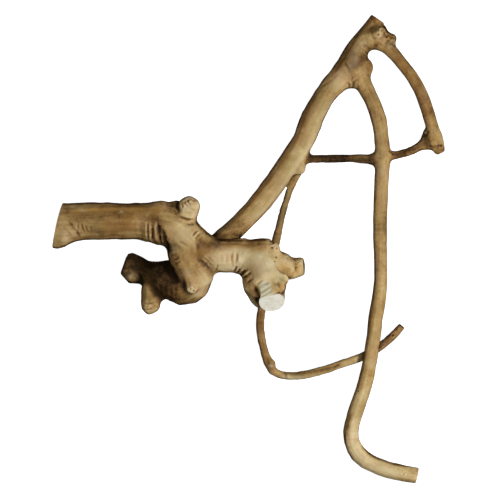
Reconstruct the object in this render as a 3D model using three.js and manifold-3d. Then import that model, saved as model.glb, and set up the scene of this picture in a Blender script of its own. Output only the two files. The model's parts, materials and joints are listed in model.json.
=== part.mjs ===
// A bird perch: one pruned, sandblasted coffee-wood branch, lying on its side.
// A short thick trunk ends in a pale sawn face. It turns into a knot that throws off a stout
// arm, a bent elbow limb and one long branch. The long branch forks near its tip into a
// drooping branch and an arc, and three thin twigs tie them together.
// Millimetres, +Z up. X and Y lie on the surface that the branch rests on, and the origin is
// under the middle of the branch. The wood grew as one piece, and is parted at its main forks.
import * as THREE from "three";
import { LoftGeometry } from "three/addons/geometries/LoftGeometry.js";
import { mergeVertices } from "three/addons/utils/BufferGeometryUtils.js";
import Module from "manifold-3d";

const wasm = await Module();
wasm.setup();

// Room left between two pieces that meet at a fork
const FORK_GAP = 0.3;
// Wood is never quite round. Each swell of a section: how many lobes it has, how fast they
// wind along the limb (radians a millimetre), and the share by which they stand out
const LOBES = [
  { count: 2, winding: 1 / 31, share: 0.035 },
  { count: 3, winding: -1 / 17, share: 0.021 },
];
// Width that is left at the very tip of a rounded end, as a share of the limb's own
const BLUNT_TIP = 0.25;
// Corners closer than this are one corner
const WELD = 1e-3;
// How many places along a limb a ring may stand at
const SPINE_STEPS = 240;
// Rings stand this many to a fold, where the bark was pushed into folds
const RINGS_PER_FOLD = 3;
// Edge of the block that a saw cut takes away, where the cut goes right through
const SAW_BLOCK = 120;

// Heartwood tan of the weathered limbs, and the darker brown of the twigs
const WOOD = new THREE.MeshStandardMaterial({ color: 0xa08055, roughness: 0.62, metalness: 0 });
const TWIG_WOOD = new THREE.MeshStandardMaterial({ color: 0x7d6240, roughness: 0.66, metalness: 0 });

const vector = (list) => new THREE.Vector3(...list);

// The solid inside a closed geometry
function solidOf(geometry) {
  const bare = new THREE.BufferGeometry().copy(geometry);
  bare.deleteAttribute("normal");
  bare.deleteAttribute("uv");
  const merged = mergeVertices(bare, WELD);
  return new wasm.Manifold(
    new wasm.Mesh({
      numProp: 3,
      vertProperties: merged.attributes.position.array,
      triVerts: new Uint32Array(merged.index.array),
    }),
  );
}

// How far the folds in the bark stand out at a place along a limb, on the side that faces out
function foldHeight(folds, distance, out) {
  let height = 0;
  for (const { from, to, towards, pitch, depth } of folds) {
    if (distance < from || distance > to) continue;
    const side = Math.max(0, out.dot(vector(towards).normalize()));
    const fade = Math.sin((Math.PI * (distance - from)) / (to - from));
    const wave = Math.cos((2 * Math.PI * (distance - from)) / pitch);
    height -= depth * side * side * fade * (0.5 + 0.5 * wave);
  }
  return height;
}

// How far burrs, scars and callus stand out at a place: each swelling is [x, y, z, height, spread]
function swellHeight(swellings, place) {
  return swellings.reduce((sum, [x, y, z, height, spread]) => {
    const away = place.distanceTo(new THREE.Vector3(x, y, z)) / spread;
    return sum + height * Math.exp(-away * away);
  }, 0);
}

// Where the rings of a limb stand: a step apart, and closer where it has folds
function ringPlaces(length, step, folds) {
  const places = [0];
  while (places.at(-1) < length) {
    const here = places.at(-1);
    const fold = folds.find(({ from, to }) => here >= from - step && here <= to);
    places.push(here + (fold ? fold.pitch / RINGS_PER_FOLD : step));
  }
  const last = places.at(-1);
  return places.map((place) => Math.round((SPINE_STEPS * place) / last));
}

// One limb: a skin through rings round a bent spine. Each point of the spine is [x, y, z, radius].
function limb({ spine, sides, step, folds = [], swellings = [], rounded = false }, grow = 0) {
  const line = new THREE.CatmullRomCurve3(spine.map(([x, y, z]) => new THREE.Vector3(x, y, z)));
  const girth = new THREE.CatmullRomCurve3(spine.map(([, , , r], i) => new THREE.Vector3(r, i, 0)));
  const length = line.getLength();
  const frames = line.computeFrenetFrames(SPINE_STEPS);
  const endRadius = spine.at(-1)[3];
  const rings = ringPlaces(length, step, folds).map((index) => {
    const share = index / SPINE_STEPS;
    const along = line.getUtoTmapping(share);
    const centre = line.getPoint(along);
    const distance = share * length;
    let radius = girth.getPoint(along).x;
    const left = (length - distance) / endRadius;
    if (rounded && left < 1) radius *= Math.max(BLUNT_TIP, Math.sqrt(1 - (1 - left) ** 2));
    return Array.from({ length: sides }, (_, side) => {
      const angle = (2 * Math.PI * side) / sides;
      const out = frames.normals[index]
        .clone()
        .multiplyScalar(Math.cos(angle))
        .addScaledVector(frames.binormals[index], Math.sin(angle));
      const swell = LOBES.reduce(
        (sum, { count, winding, share: part }) => sum + part * Math.sin(count * angle + winding * distance),
        0,
      );
      const reach = radius * (1 + swell) + foldHeight(folds, distance, out);
      const bark = centre.clone().addScaledVector(out, reach);
      return bark.addScaledVector(out, swellHeight(swellings, bark) + grow);
    });
  });
  return solidOf(new LoftGeometry(rings, { capStart: true, capEnd: true }));
}

// A knob, burr or callus: an egg-shaped lump at a place, with three half-widths
function lump({ at, size, turn = 0, detail = 1 }, grow = 0) {
  const egg = new THREE.IcosahedronGeometry(1, detail);
  egg.scale(...size.map((half) => half + grow));
  egg.rotateZ(turn);
  egg.translate(...at);
  return solidOf(egg);
}

// What a saw leaves of a solid: everything beyond the plane through a point is taken away
function sawn(solid, { at, facing, block: edge = SAW_BLOCK }, grow = 0) {
  const normal = vector(facing).normalize();
  const block = new THREE.BoxGeometry(edge, edge, edge);
  block.translate(0, 0, edge / 2 + grow);
  block.applyQuaternion(new THREE.Quaternion().setFromUnitVectors(new THREE.Vector3(0, 0, 1), normal));
  block.translate(...at);
  return solid.subtract(solidOf(block));
}

// A piece as it grew: its limbs and lumps in one, less its saw cuts
function grown({ limbs, lumps = [], cuts = [] }, grow = 0) {
  const parts = [...limbs.map((each) => limb(each, grow)), ...lumps.map((each) => lump(each, grow))];
  const whole = parts.reduce((all, each) => all.add(each));
  return cuts.reduce((rest, cut) => sawn(rest, cut, grow), whole);
}

// The pale sawn face at the foot of the trunk, where a fastener would go
const SAWN_FACE = { at: [28, -69, 106], facing: [0.12, -0.64, 0.76] };

const trunk = {
  limbs: [
    // from the sawn foot, round the bend, to the knot
    {
      spine: [
        [31.4, -82.5, 120, 14.6],
        [28.6, -67.2, 104, 15.9],
        [21, -46, 87, 23.2],
        [12, -25, 72, 24.5],
        [-2, -14, 66, 22.6],
        [-23, -9, 64, 21.7],
        [-41, -9, 65, 21.7],
        [-53, -6, 66, 23.4],
        [-64.5, 1, 68, 23.5],
        [-77, 10.5, 70, 23.6],
        [-88, 21, 71, 26],
        [-99, 28.5, 71, 28.6],
        [-112, 32, 70, 29.6],
      ],
      sides: 16,
      step: 10,
      folds: [
        { from: 58, to: 97, towards: [-0.6, -0.8, 0.3], pitch: 7.8, depth: 2 },
        { from: 150, to: 174, towards: [0.6, 0.7, 0.4], pitch: 8, depth: 1.6 },
      ],
      swellings: [
        [-4, -52, 88, 6, 14],
        [38, -50, 98, 3, 9],
        [-80, 4, 92, 3, 16],
        [-6, 13, 68, 2.4, 12],
      ],
    },
    // shoulder above the bend, with the scar of a lost twig at its corner
    {
      spine: [[-6, -11, 66, 20.5], [10, -7, 66, 20.1], [24, -4, 67, 18.2], [36, -3, 68, 14.6]],
      sides: 14,
      step: 9,
      swellings: [[36, 4, 74, 5, 10]],
      rounded: true,
    },
    // right knob: a pruned stub with a callus ring near its end
    {
      spine: [
        [22, -18, 66, 22],
        [40, -21.5, 66, 17.8],
        [50, -25, 66, 16],
        [56, -25.5, 67, 14.6],
        [60, -24.8, 67, 13.2],
        [64, -23.8, 67, 13.2],
        [71, -22.6, 68, 11],
        [78, -21.6, 69, 9],
      ],
      sides: 14,
      step: 4.6,
    },
    // top knob: a pruned stub on the knot
    {
      spine: [
        [-91, 20, 72, 20],
        [-85.5, 36, 78, 16],
        [-80, 49, 84, 13.9],
        [-78, 57, 86, 14],
        [-76.5, 67.5, 88, 13],
      ],
      sides: 12,
      step: 5,
      swellings: [[-70, 56, 94, 2, 7]],
      rounded: true,
    },
  ],
  lumps: [
    // burr beside the sawn face
    { at: [40, -48.5, 98], size: [7.5, 9.5, 7.5] },
    // web between it and the right knob
    { at: [42.5, -40, 88], size: [8, 9, 9] },
    // fullness of the arm's root, beside the top knob
    { at: [-95, 52, 70], size: [13, 10.5, 13] },
    // ridge that runs down the flank, beside the sawn face
    { at: [6.5, -58, 84], size: [9.5, 20, 12], turn: 0.47, detail: 2 },
    // rough scar on the shoulder
    { at: [32, -1, 79], size: [8, 9, 5] },
  ],
  cuts: [
    SAWN_FACE,
    // a slanting slice above the sawn face
    { at: [23.3, -54, 111.8], facing: [-0.08, 0.17, 0.98], block: 36 },
    // the end of the right knob
    { at: [70.4, -22, 68], facing: [0.98, 0.06, 0.1] },
  ],
};

const leftArm = {
  limbs: [
    {
      spine: [
        [-111, 32, 70, 29],
        [-118, 33, 69.6, 29.2],
        [-129, 33.9, 69, 27.2],
        [-142, 35.3, 68, 24.5],
        [-168, 35.5, 66, 24.2],
        [-194, 35.3, 64, 24.6],
        [-220, 34.3, 62, 24.2],
        [-236, 33.7, 60, 24],
        [-264, 33, 58, 24],
      ],
      sides: 16,
      step: 12,
      folds: [
        { from: 1, to: 32, towards: [-0.1, -0.85, 0.5], pitch: 8, depth: 2.8 },
        { from: 112, to: 126, towards: [0, -0.5, 0.85], pitch: 7, depth: 1.2 },
      ],
      // the arm flares below its sawn end
      swellings: [
        [-249, 9, 64, 9.5, 16],
        [-240, 12, 78, 4, 12],
      ],
    },
  ],
  cuts: [{ at: [-247.9, 34, 66], facing: [-0.973, 0.22, -0.06] }],
};

const elbowLimb = {
  limbs: [
    // down out of the knot, round the elbow and back to the surface that it rests on
    {
      spine: [
        [-86, 17, 70, 22],
        [-86, -3, 71, 20.5],
        [-78, -24, 70, 19.5],
        [-71, -40, 61, 21.5],
        [-84, -49, 50, 23.5],
        [-108, -39, 38, 24],
        [-124, -35, 29, 18.2],
        [-137, -31.4, 21.5, 15.6],
        [-150, -27.2, 17.4, 17.4],
        [-171, -27.2, 17, 17.2],
      ],
      sides: 16,
      step: 9,
      swellings: [
        [-50, -44, 58, 3, 18],
        [-81, -75, 44, 3.6, 17],
        [-58, -18, 66, 5, 16],
        [-155, -9, 24, 5, 10],
        [-155, -42, 28, 2.5, 10],
        [-98, -8, 50, 4, 14],
      ],
    },
    // the lower of its two pruned stubs
    {
      spine: [
        [-120, -40, 33, 16],
        [-126.5, -54, 36, 14.6],
        [-127.6, -64, 38, 13.6],
        [-128.6, -72, 40, 13.4],
        [-130.3, -79, 40.5, 12.2],
        [-131.3, -85.5, 41, 10.8],
      ],
      sides: 12,
      step: 6,
      rounded: true,
    },
  ],
  // a grey scar on the elbow
  lumps: [{ at: [-74, -51, 80.5], size: [8, 7.5, 4] }],
  // two saw cuts made its end a blunt wedge
  cuts: [
    { at: [-162.5, -18, 18], facing: [-0.95, 0.3, 0.1], block: 60 },
    { at: [-163, -38, 18], facing: [-0.76, -0.65, 0.05], block: 60 },
  ],
};

const longBranch = {
  limbs: [
    {
      spine: [
        [-54, -11, 54, 16.5],
        [-36.5, 8.4, 50, 15.2],
        [-16, 27.8, 46, 14.2],
        [-2, 42.1, 43, 13.9],
        [11.6, 57.3, 41, 14.2],
        [30, 81, 40, 13.8],
        [48.3, 106.8, 40, 14.1],
        [58, 121, 40, 14.3],
        [70, 141, 40, 14.3],
        [75.6, 154.2, 40, 15.4],
        [82, 171, 39, 15.3],
        [94.6, 193.2, 37, 14.2],
        [102.7, 205.1, 35, 14.4],
        [116, 219, 32, 16.3],
        [129, 235, 28, 17.8],
        [138, 255, 22, 15],
        [147.3, 268.6, 17, 13.6],
        [156.4, 283.6, 13, 11],
        [169.6, 306, 11, 7.2],
      ],
      sides: 12,
      step: 11,
      swellings: [
        [74, 110, 44, 4, 9],
        [150, 236, 32, 5, 11],
        [160, 282, 3, 1.8, 12],
        [171, 281, 22, 5, 13],
      ],
    },
    // the web of the upper fork, and the thick root of the arc
    { spine: [[126, 240, 27, 15], [138, 231, 31, 15.6], [148, 214, 34, 12.4]], sides: 12, step: 9 },
    {
      spine: [[148, 272, 18, 12.6], [162, 273, 17, 13.4], [177, 266, 18.5, 10.8]],
      sides: 12,
      step: 8,
      swellings: [[174, 279, 20, 5, 12]],
    },
  ],
  lumps: [
    // knob where the two thin twigs start, and the web and the shoulder of the fork
    { at: [63, 105, 41], size: [10.5, 9.5, 10] },
    { at: [132, 221, 32], size: [15, 13.5, 13] },
    { at: [148, 235, 28], size: [13.2, 14.5, 13], detail: 2 },
    // crown of burrs round the pruned tip
    { at: [170, 281, 24], size: [9, 9, 8] },
    { at: [172, 285, 15], size: [8, 8, 9] },
    { at: [183, 273.5, 17], size: [9.4, 8, 10] },
  ],
  cuts: [{ at: [165.5, 301.4, 11], facing: [0.56, 0.83, 0.02] }],
};

const arcBranch = {
  limbs: [
    {
      spine: [
        [173, 268.5, 18.2, 9.8],
        [178, 265, 19, 10],
        [184, 258.5, 20.5, 9.4],
        [190.4, 251.3, 23, 8.6],
        [199.2, 240.2, 26, 8.3],
        [210.4, 225.2, 30, 8.1],
        [220.7, 208.3, 33, 8.2],
        [228.2, 190.1, 35, 8.4],
        [233.5, 173, 36, 8.3],
        [238.2, 157, 36, 8.5],
        [242.2, 143, 35, 9.7],
        [244.4, 133, 34, 9.6],
        [246.5, 117, 32, 8.6],
      ],
      sides: 10,
      step: 10,
      swellings: [[234, 141, 36, 3, 8]],
    },
  ],
  // two cuts that meet in a blunt point
  cuts: [
    { at: [248.6, 123.8, 33], facing: [0.45, -0.89, -0.1] },
    { at: [240.3, 125.2, 33], facing: [-0.69, -0.72, 0] },
  ],
};

const droopingBranch = {
  limbs: [
    {
      spine: [
        [146.5, 216.5, 34.5, 11.9],
        [150, 211, 36, 11.2],
        [154.8, 202, 38, 10.1],
        [162, 185, 41, 10.2],
        [168.2, 166, 43, 10.7],
        [171.3, 145, 44, 9.7],
        [173, 128, 44, 10.1],
        [173, 117, 44, 11],
        [172.5, 102, 44, 9.5],
        [170.7, 70, 43, 9.1],
        [169.7, 31, 42, 9.3],
        [170.2, -8, 40, 9],
        [170.2, -44, 38, 9],
        [168.1, -67, 36, 9.6],
        [164.1, -90, 34, 9.3],
        [161.8, -112, 31, 9.2],
        [159, -132, 29, 9.3],
        [155.6, -154, 26, 9.4],
        [152, -172, 23, 10],
        [146.9, -189, 19.8, 10.4],
        [140.6, -207, 16, 10.4],
        [134.8, -226, 13.2, 10.4],
        [132.1, -244, 10.9, 10.7],
        [135.9, -259, 10.9, 10.7],
        [145.8, -272.2, 11.9, 11.5],
        [161.8, -281.4, 12.6, 10.8],
        [181, -289, 14.6, 10.7],
        [200, -293.1, 17.3, 10.6],
        [224, -297.2, 20, 10.4],
      ],
      sides: 10,
      step: 11,
    },
  ],
  cuts: [{ at: [218.7, -295, 20], facing: [0.97, -0.22, -0.05] }],
};

const crossTwigLeft = {
  limbs: [
    {
      spine: [
        [60, 115, 38, 7],
        [73, 115.8, 38, 6.4],
        [81, 116.5, 39, 5.4],
        [109, 116.7, 41, 5.8],
        [131, 117, 42, 5],
        [146, 116.5, 43, 6.2],
        [155, 116, 43, 6.2],
        [162, 116, 44, 9.4],
        [170, 116, 44, 9],
      ],
      sides: 8,
      step: 8,
    },
  ],
};

const crossTwigRight = {
  limbs: [
    {
      spine: [
        [174, 119, 44, 8],
        [182, 120.2, 43, 7],
        [188, 121, 41, 5.9],
        [197, 123, 38, 5.5],
        [209.5, 126.9, 34, 5.6],
        [219.5, 131.8, 32, 6],
        [226.5, 138, 31.5, 6.3],
        [229.4, 147, 31.5, 4.8],
        [229.5, 155, 31.5, 3.4],
      ],
      sides: 8,
      step: 7,
    },
    // its foot, spread over the end of the arc
    { spine: [[217, 130.5, 32, 5.4], [228, 133.6, 32, 5.4], [240, 134, 33, 6.6]], sides: 8, step: 7 },
  ],
};

const backTwig = {
  limbs: [
    {
      spine: [
        [64, 102, 34, 7],
        [58, 90, 29, 5.6],
        [52.2, 76, 25, 4.7],
        [48, 63, 22.5, 4.5],
        [44, 50, 21, 5],
        [40.7, 37, 20, 5],
        [38, 24, 19, 5.5],
        [35, 12, 18, 5.8],
        [29, -15, 17, 5.4],
        [21, -49, 16, 5.4],
        [15.4, -83, 14, 5.7],
        [13.6, -101, 13, 5.7],
        [16.2, -120, 12, 5.6],
        [20, -137, 11, 5.9],
        [25.4, -151, 10.6, 7],
        [30.8, -160.3, 10, 6],
        [42.8, -165.5, 9, 5.6],
        [55, -166.8, 9, 5.5],
        [71, -165.2, 10, 5.7],
        [92, -160.3, 11, 5.6],
        [118.6, -151.4, 12, 5.4],
        [141.6, -143.6, 12.5, 5.5],
        [158, -136, 13, 5.6],
        [171.4, -127.4, 14, 5.8],
        [183, -118, 16, 5.8],
        [191.6, -109.6, 18, 5.7],
        [198.4, -101.2, 20, 4.8],
      ],
      sides: 7,
      step: 12,
    },
  ],
  // knob in its bend
  lumps: [{ at: [27.6, -151.5, 11], size: [6.4, 7.5, 6.5] }],
};

// Each piece, its wood, and the pieces that it grows out of
const PIECES = {
  trunk: { form: trunk, wood: WOOD, from: [] },
  left_arm: { form: leftArm, wood: WOOD, from: [trunk] },
  elbow_limb: { form: elbowLimb, wood: WOOD, from: [trunk, leftArm] },
  long_branch: { form: longBranch, wood: WOOD, from: [trunk, elbowLimb] },
  arc_branch: { form: arcBranch, wood: WOOD, from: [longBranch] },
  drooping_branch: { form: droopingBranch, wood: WOOD, from: [longBranch] },
  cross_twig_left: { form: crossTwigLeft, wood: TWIG_WOOD, from: [longBranch, droopingBranch] },
  cross_twig_right: { form: crossTwigRight, wood: TWIG_WOOD, from: [droopingBranch, arcBranch] },
  back_twig: { form: backTwig, wood: TWIG_WOOD, from: [longBranch, crossTwigLeft] },
};

// A solid as a mesh. Only its largest body is kept: a root that peeped out behind is dropped.
function meshOf(name, solid, wood) {
  const bodies = solid.decompose().sort((a, b) => b.volume() - a.volume());
  const { vertProperties, triVerts } = bodies[0].getMesh();
  const geometry = new THREE.BufferGeometry()
    .setAttribute("position", new THREE.BufferAttribute(vertProperties, 3))
    .setIndex(new THREE.BufferAttribute(triVerts, 1));
  geometry.computeVertexNormals();
  const mesh = new THREE.Mesh(geometry, wood);
  mesh.name = name;
  return mesh;
}

const perch = new THREE.Group();
for (const [name, { form, wood, from }] of Object.entries(PIECES)) {
  const cut = from.reduce((rest, parent) => rest.subtract(grown(parent, FORK_GAP)), grown(form));
  perch.add(meshOf(name, cut, wood));
}

// Origin on the surface that it rests on, under the middle
const box = new THREE.Box3().setFromObject(perch, true);
const middle = box.getCenter(new THREE.Vector3());
perch.position.set(-middle.x, -middle.y, -box.min.z);

export default perch;
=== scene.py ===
# %% [markdown]
# # A bird perch from one pruned branch
# The perch is a single sandblasted coffee-wood branch that lies on its side. A short trunk, pale
# where it was sawn, runs into a swollen knot. A stout arm, a bent elbow and a long branch leave the
# knot, the long branch forks near its tip, and three thin twigs tie the limbs together.
#
# The branch could be built limb by limb, but then every fork would show a seam. It is built the way
# a carver would think of it instead: one closed skin is drawn over all the limbs, smoothed until it
# looks grown, sculpted, painted, and only at the end parted again at the forks.

# %% An empty scene, the fixed frame and its box
import json
import math

import bmesh
import bpy
import numpy as np
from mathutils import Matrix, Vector
from mathutils.bvhtree import BVHTree
from mathutils.kdtree import KDTree

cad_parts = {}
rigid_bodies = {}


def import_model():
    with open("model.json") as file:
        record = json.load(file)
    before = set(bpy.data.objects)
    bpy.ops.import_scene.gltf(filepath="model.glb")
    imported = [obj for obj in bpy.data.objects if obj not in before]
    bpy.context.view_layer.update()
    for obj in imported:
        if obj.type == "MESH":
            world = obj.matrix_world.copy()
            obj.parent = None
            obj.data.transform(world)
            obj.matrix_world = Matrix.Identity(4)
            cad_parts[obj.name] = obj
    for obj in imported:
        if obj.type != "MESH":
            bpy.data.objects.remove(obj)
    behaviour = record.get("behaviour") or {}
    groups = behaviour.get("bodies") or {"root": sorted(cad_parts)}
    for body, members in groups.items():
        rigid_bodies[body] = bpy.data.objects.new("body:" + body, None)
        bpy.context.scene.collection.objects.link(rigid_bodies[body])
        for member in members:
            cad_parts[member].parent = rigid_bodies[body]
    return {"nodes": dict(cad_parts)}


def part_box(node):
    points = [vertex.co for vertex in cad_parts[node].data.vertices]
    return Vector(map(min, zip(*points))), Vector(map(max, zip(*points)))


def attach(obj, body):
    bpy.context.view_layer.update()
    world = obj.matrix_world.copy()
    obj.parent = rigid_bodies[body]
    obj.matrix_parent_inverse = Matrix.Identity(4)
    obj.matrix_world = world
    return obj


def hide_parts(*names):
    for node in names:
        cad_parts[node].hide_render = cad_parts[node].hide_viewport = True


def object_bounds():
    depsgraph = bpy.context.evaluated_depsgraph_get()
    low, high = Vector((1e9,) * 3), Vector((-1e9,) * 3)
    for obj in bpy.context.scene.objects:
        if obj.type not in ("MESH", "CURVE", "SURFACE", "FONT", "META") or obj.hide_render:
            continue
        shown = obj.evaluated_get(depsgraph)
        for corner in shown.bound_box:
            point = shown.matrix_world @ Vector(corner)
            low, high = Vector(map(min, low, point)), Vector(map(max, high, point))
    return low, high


for leftover in list(bpy.data.objects):
    bpy.data.objects.remove(leftover)
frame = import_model()
cad_box = [list(corner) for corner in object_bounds()]
NODES = sorted(frame["nodes"])
MM = 0.001
print("nodes:", NODES)
print("box in mm:", [[round(value / MM) for value in corner] for corner in cad_box])

# %% [markdown]
# ## The camera
# A cut branch cannot stand, so it lies down and the camera looks straight down on it, with the
# picture's upper edge towards +Y. A wide lens close by would make the high trunk swell, so a long
# lens from six metres is used: it sees the limbs almost without perspective.

# %% A long lens straight above
PICTURE_WIDTH_MM = 650
CAMERA_RISE = 6.0
FOCUS_HEIGHT = 0.04
SENSOR_MM = 36
# the middle of the picture, so that the branch is framed as in the photograph
VIEW_CENTRE = (0.87 * MM, -1.59 * MM)

lens = bpy.data.cameras.new("camera")
lens.sensor_width = SENSOR_MM
lens.lens = SENSOR_MM * CAMERA_RISE / (PICTURE_WIDTH_MM * MM)
camera = bpy.data.objects.new("camera", lens)
camera.location = (*VIEW_CENTRE, FOCUS_HEIGHT + CAMERA_RISE)
bpy.context.scene.collection.objects.link(camera)
bpy.context.scene.camera = camera
print("lens in mm:", round(lens.lens))

# %% [markdown]
# ## Copies of the limbs, with longer sawn ends
# The solids of the frame are faceted and stand 0.3 mm apart at the forks. Each is copied, its loose
# triangles are merged, and it swells by a hair, so that neighbours overlap and can be joined.
# The sawn ends need care: whatever rounds the wood would round them too. So each end is first drawn
# out by a few millimetres, and it is cut back to its true plane once the wood is smooth.

# %% The saw cuts: limb, a point of the face, the way it faces and how far it reaches, in mm
CUTS = {
    "foot": ("trunk", (28, -69, 106), (0.12, -0.64, 0.76), 27),
    "arm": ("left_arm", (-247.9, 34, 66), (-0.973, 0.22, -0.06), 44),
    "crown": ("long_branch", (165.5, 301.4, 11), (0.56, 0.83, 0.02), 17),
    "droop": ("drooping_branch", (218.7, -295, 20), (0.97, -0.22, -0.05), 15),
    "twig": ("back_twig", (198.4, -101.2, 20), (0.62, 0.75, 0.2), 8),
}
DRAWN_OUT = 3 * MM
SAME_WAY = 0.97
CLOSE_TO_CUT = 2 * MM

def draw_out_ends(solid, node):
    """Moves the sawn ends of a limb outwards, and returns the plane that each was cut at"""
    planes = {}
    for name, (owner, at, facing, reach) in CUTS.items():
        if owner != node:
            continue
        at, facing = Vector(at) * MM, Vector(facing).normalized()
        end = [
            face for face in solid.faces
            if face.normal.dot(facing) > SAME_WAY
            and (face.calc_center_median() - at).length < reach * MM
            and abs((face.calc_center_median() - at).dot(facing)) < CLOSE_TO_CUT
        ]
        corners = list({vert for face in end for vert in face.verts})
        middle = sum((vert.co for vert in corners), Vector()) / len(corners)
        planes[name] = (middle, facing, reach * MM)
        bmesh.ops.translate(solid, verts=corners, vec=facing * DRAWN_OUT)
    return planes

# %% One mesh of swollen limbs
SAME_PLACE = 0.01 * MM
SWELL = 0.6 * MM

limbs = bmesh.new()
planes = {}
for node in NODES:
    limb = bmesh.new()
    limb.from_mesh(frame["nodes"][node].data)
    bmesh.ops.remove_doubles(limb, verts=limb.verts, dist=SAME_PLACE)
    limb.normal_update()
    planes.update(draw_out_ends(limb, node))
    limb.normal_update()
    for vert in limb.verts:
        vert.co += SWELL * vert.normal
    copy = bpy.data.meshes.new("copy")
    limb.to_mesh(copy)
    limb.free()
    limbs.from_mesh(copy)
    bpy.data.meshes.remove(copy)
skin_mesh = bpy.data.meshes.new("skin")
limbs.to_mesh(skin_mesh)
limbs.free()
skin = bpy.data.objects.new("skin", skin_mesh)
bpy.context.scene.collection.objects.link(skin)
print("cut planes found:", sorted(planes), "triangles in the limbs:", len(skin_mesh.polygons))

# %% [markdown]
# ## One skin over all limbs
# A Remesh modifier turns the overlapping limbs into one closed surface of even squares. Real forks
# are never sharp: the wood fills the crotch with a web. So the skin is pushed out, remeshed and
# drawn back in. Convex wood comes back to where it was, and the narrow corners stay filled.

# %% Remeshing, and moving vertices
VOXEL = 1.75 * MM

def remesh(obj):
    """Draws one closed surface of even squares over all that an object's mesh holds"""
    modifier = obj.modifiers.new("one skin", "REMESH")
    modifier.mode = "VOXEL"
    modifier.voxel_size = VOXEL
    bpy.context.view_layer.objects.active = obj
    bpy.ops.object.modifier_apply(modifier=modifier.name)

def read(data, name, width=3):
    """A property of every element as an array, one row each"""
    values = np.empty(len(data) * width, np.float32)
    data.foreach_get(name, values)
    values = values.astype(float)
    return values.reshape(-1, width) if width > 1 else values

def move_to(mesh, places):
    """Puts every vertex at its place in a list"""
    mesh.vertices.foreach_set("co", places.astype(np.float32).ravel())
    mesh.update()

def push(mesh, distance):
    """Moves every vertex along its normal, by one distance or by a list of them"""
    reach = np.broadcast_to(distance, len(mesh.vertices))[:, None]
    move_to(mesh, read(mesh.vertices, "co") + reach * read(mesh.vertices, "normal"))

# %% Webs: push out, remesh and draw back, though a little of the swelling is kept
KEPT_SWELL = 0.3 * MM
CROTCH_WEB, TWIG_WEB = 3.2 * MM, 0.9 * MM
TWIG_NODES = ("cross_twig_left", "cross_twig_right", "back_twig")
# a web is a twig's within this gap from it, and a crotch's further on
TWIG_GAP, WIDENING = 6 * MM, 14 * MM
# limbs that only touch leave a sharp corner: its place and reach. No web is in its inner half.
SHARP_CORNERS = [(Vector((-9, 13, 48)) * MM, 18 * MM), (Vector((-97, -22, 52)) * MM, 12 * MM)]

def web_size(places):
    """How wide a web may be at each place: narrow near a twig and at a sharp corner"""
    rows = np.vstack([read(frame["nodes"][node].data.vertices, "co") for node in TWIG_NODES])
    tree = KDTree(len(rows))
    for index, row in enumerate(rows):
        tree.insert(row, index)
    tree.balance()
    gap = np.array([tree.find(place)[2] for place in places])
    width = np.clip((gap - TWIG_GAP) / WIDENING, 0, 1)
    for corner, reach in SHARP_CORNERS:
        away = np.linalg.norm(places - np.array(corner), axis=1)
        width = np.minimum(width, np.clip(2 * away / reach - 1, 0, 1))
    return TWIG_WEB + (CROTCH_WEB - TWIG_WEB) * width

remesh(skin)
push(skin.data, web_size(read(skin.data.vertices, "co")))
remesh(skin)
push(skin.data, KEPT_SWELL - SWELL - web_size(read(skin.data.vertices, "co")))
print("vertices in the skin:", len(skin.data.vertices))

# %% [markdown]
# ## From facets to grown wood
# Plain smoothing averages each vertex with its neighbours. It melts the facets, but it also makes
# thin twigs thinner at every pass. Taubin's way takes one step in and one slightly longer step out,
# so the facets go and the girth stays.

# %% Smooth in, then out
SMOOTH_IN, SMOOTH_OUT = 0.63, -0.672
SMOOTH_PASSES = 45

class Net:
    """Which vertices of a mesh are neighbours"""
    def __init__(self, mesh):
        pairs = np.empty(len(mesh.edges) * 2, np.int32)
        mesh.edges.foreach_get("vertices", pairs)
        self.ends = pairs.reshape(-1, 2)
        self.count = len(mesh.vertices)
        self.valence = np.bincount(pairs, minlength=self.count)

    def mean(self, values):
        """The mean of each vertex's neighbours"""
        a, b = self.ends.T
        columns = [
            np.bincount(a, column[b], self.count) + np.bincount(b, column[a], self.count)
            for column in np.atleast_2d(values.T)
        ]
        return (np.array(columns) / self.valence).T.reshape(values.shape)

    def soften(self, values, passes):
        """The values after some passes of plain smoothing"""
        for _ in range(passes):
            values = 0.5 * values + 0.5 * self.mean(values)
        return values

net = Net(skin.data)
places = read(skin.data.vertices, "co")
for _ in range(SMOOTH_PASSES):
    for step in (SMOOTH_IN, SMOOTH_OUT):
        places += step * (net.mean(places) - places)
move_to(skin.data, places)
print("smoothed:", SMOOTH_PASSES, "passes over", net.count, "vertices")

# %% [markdown]
# ## Sawn faces, cut back to their planes
# Now each drawn-out end is sliced at its true plane. What stood beyond the plane is pressed flat
# onto it, which gives the face a mesh of its own for saw marks. The rim is creased and marked
# sharp, so the subdivision that follows keeps the edge that a saw leaves.

# %% Slice and press flat
ON_PLANE = 0.02 * MM
# a slanting slice above the foot: its middle, the way it faces and its reach
SLICE = (Vector((23.3, -54, 111.8)) * MM, Vector((-0.08, 0.17, 0.98)).normalized(), 18 * MM)

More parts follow.
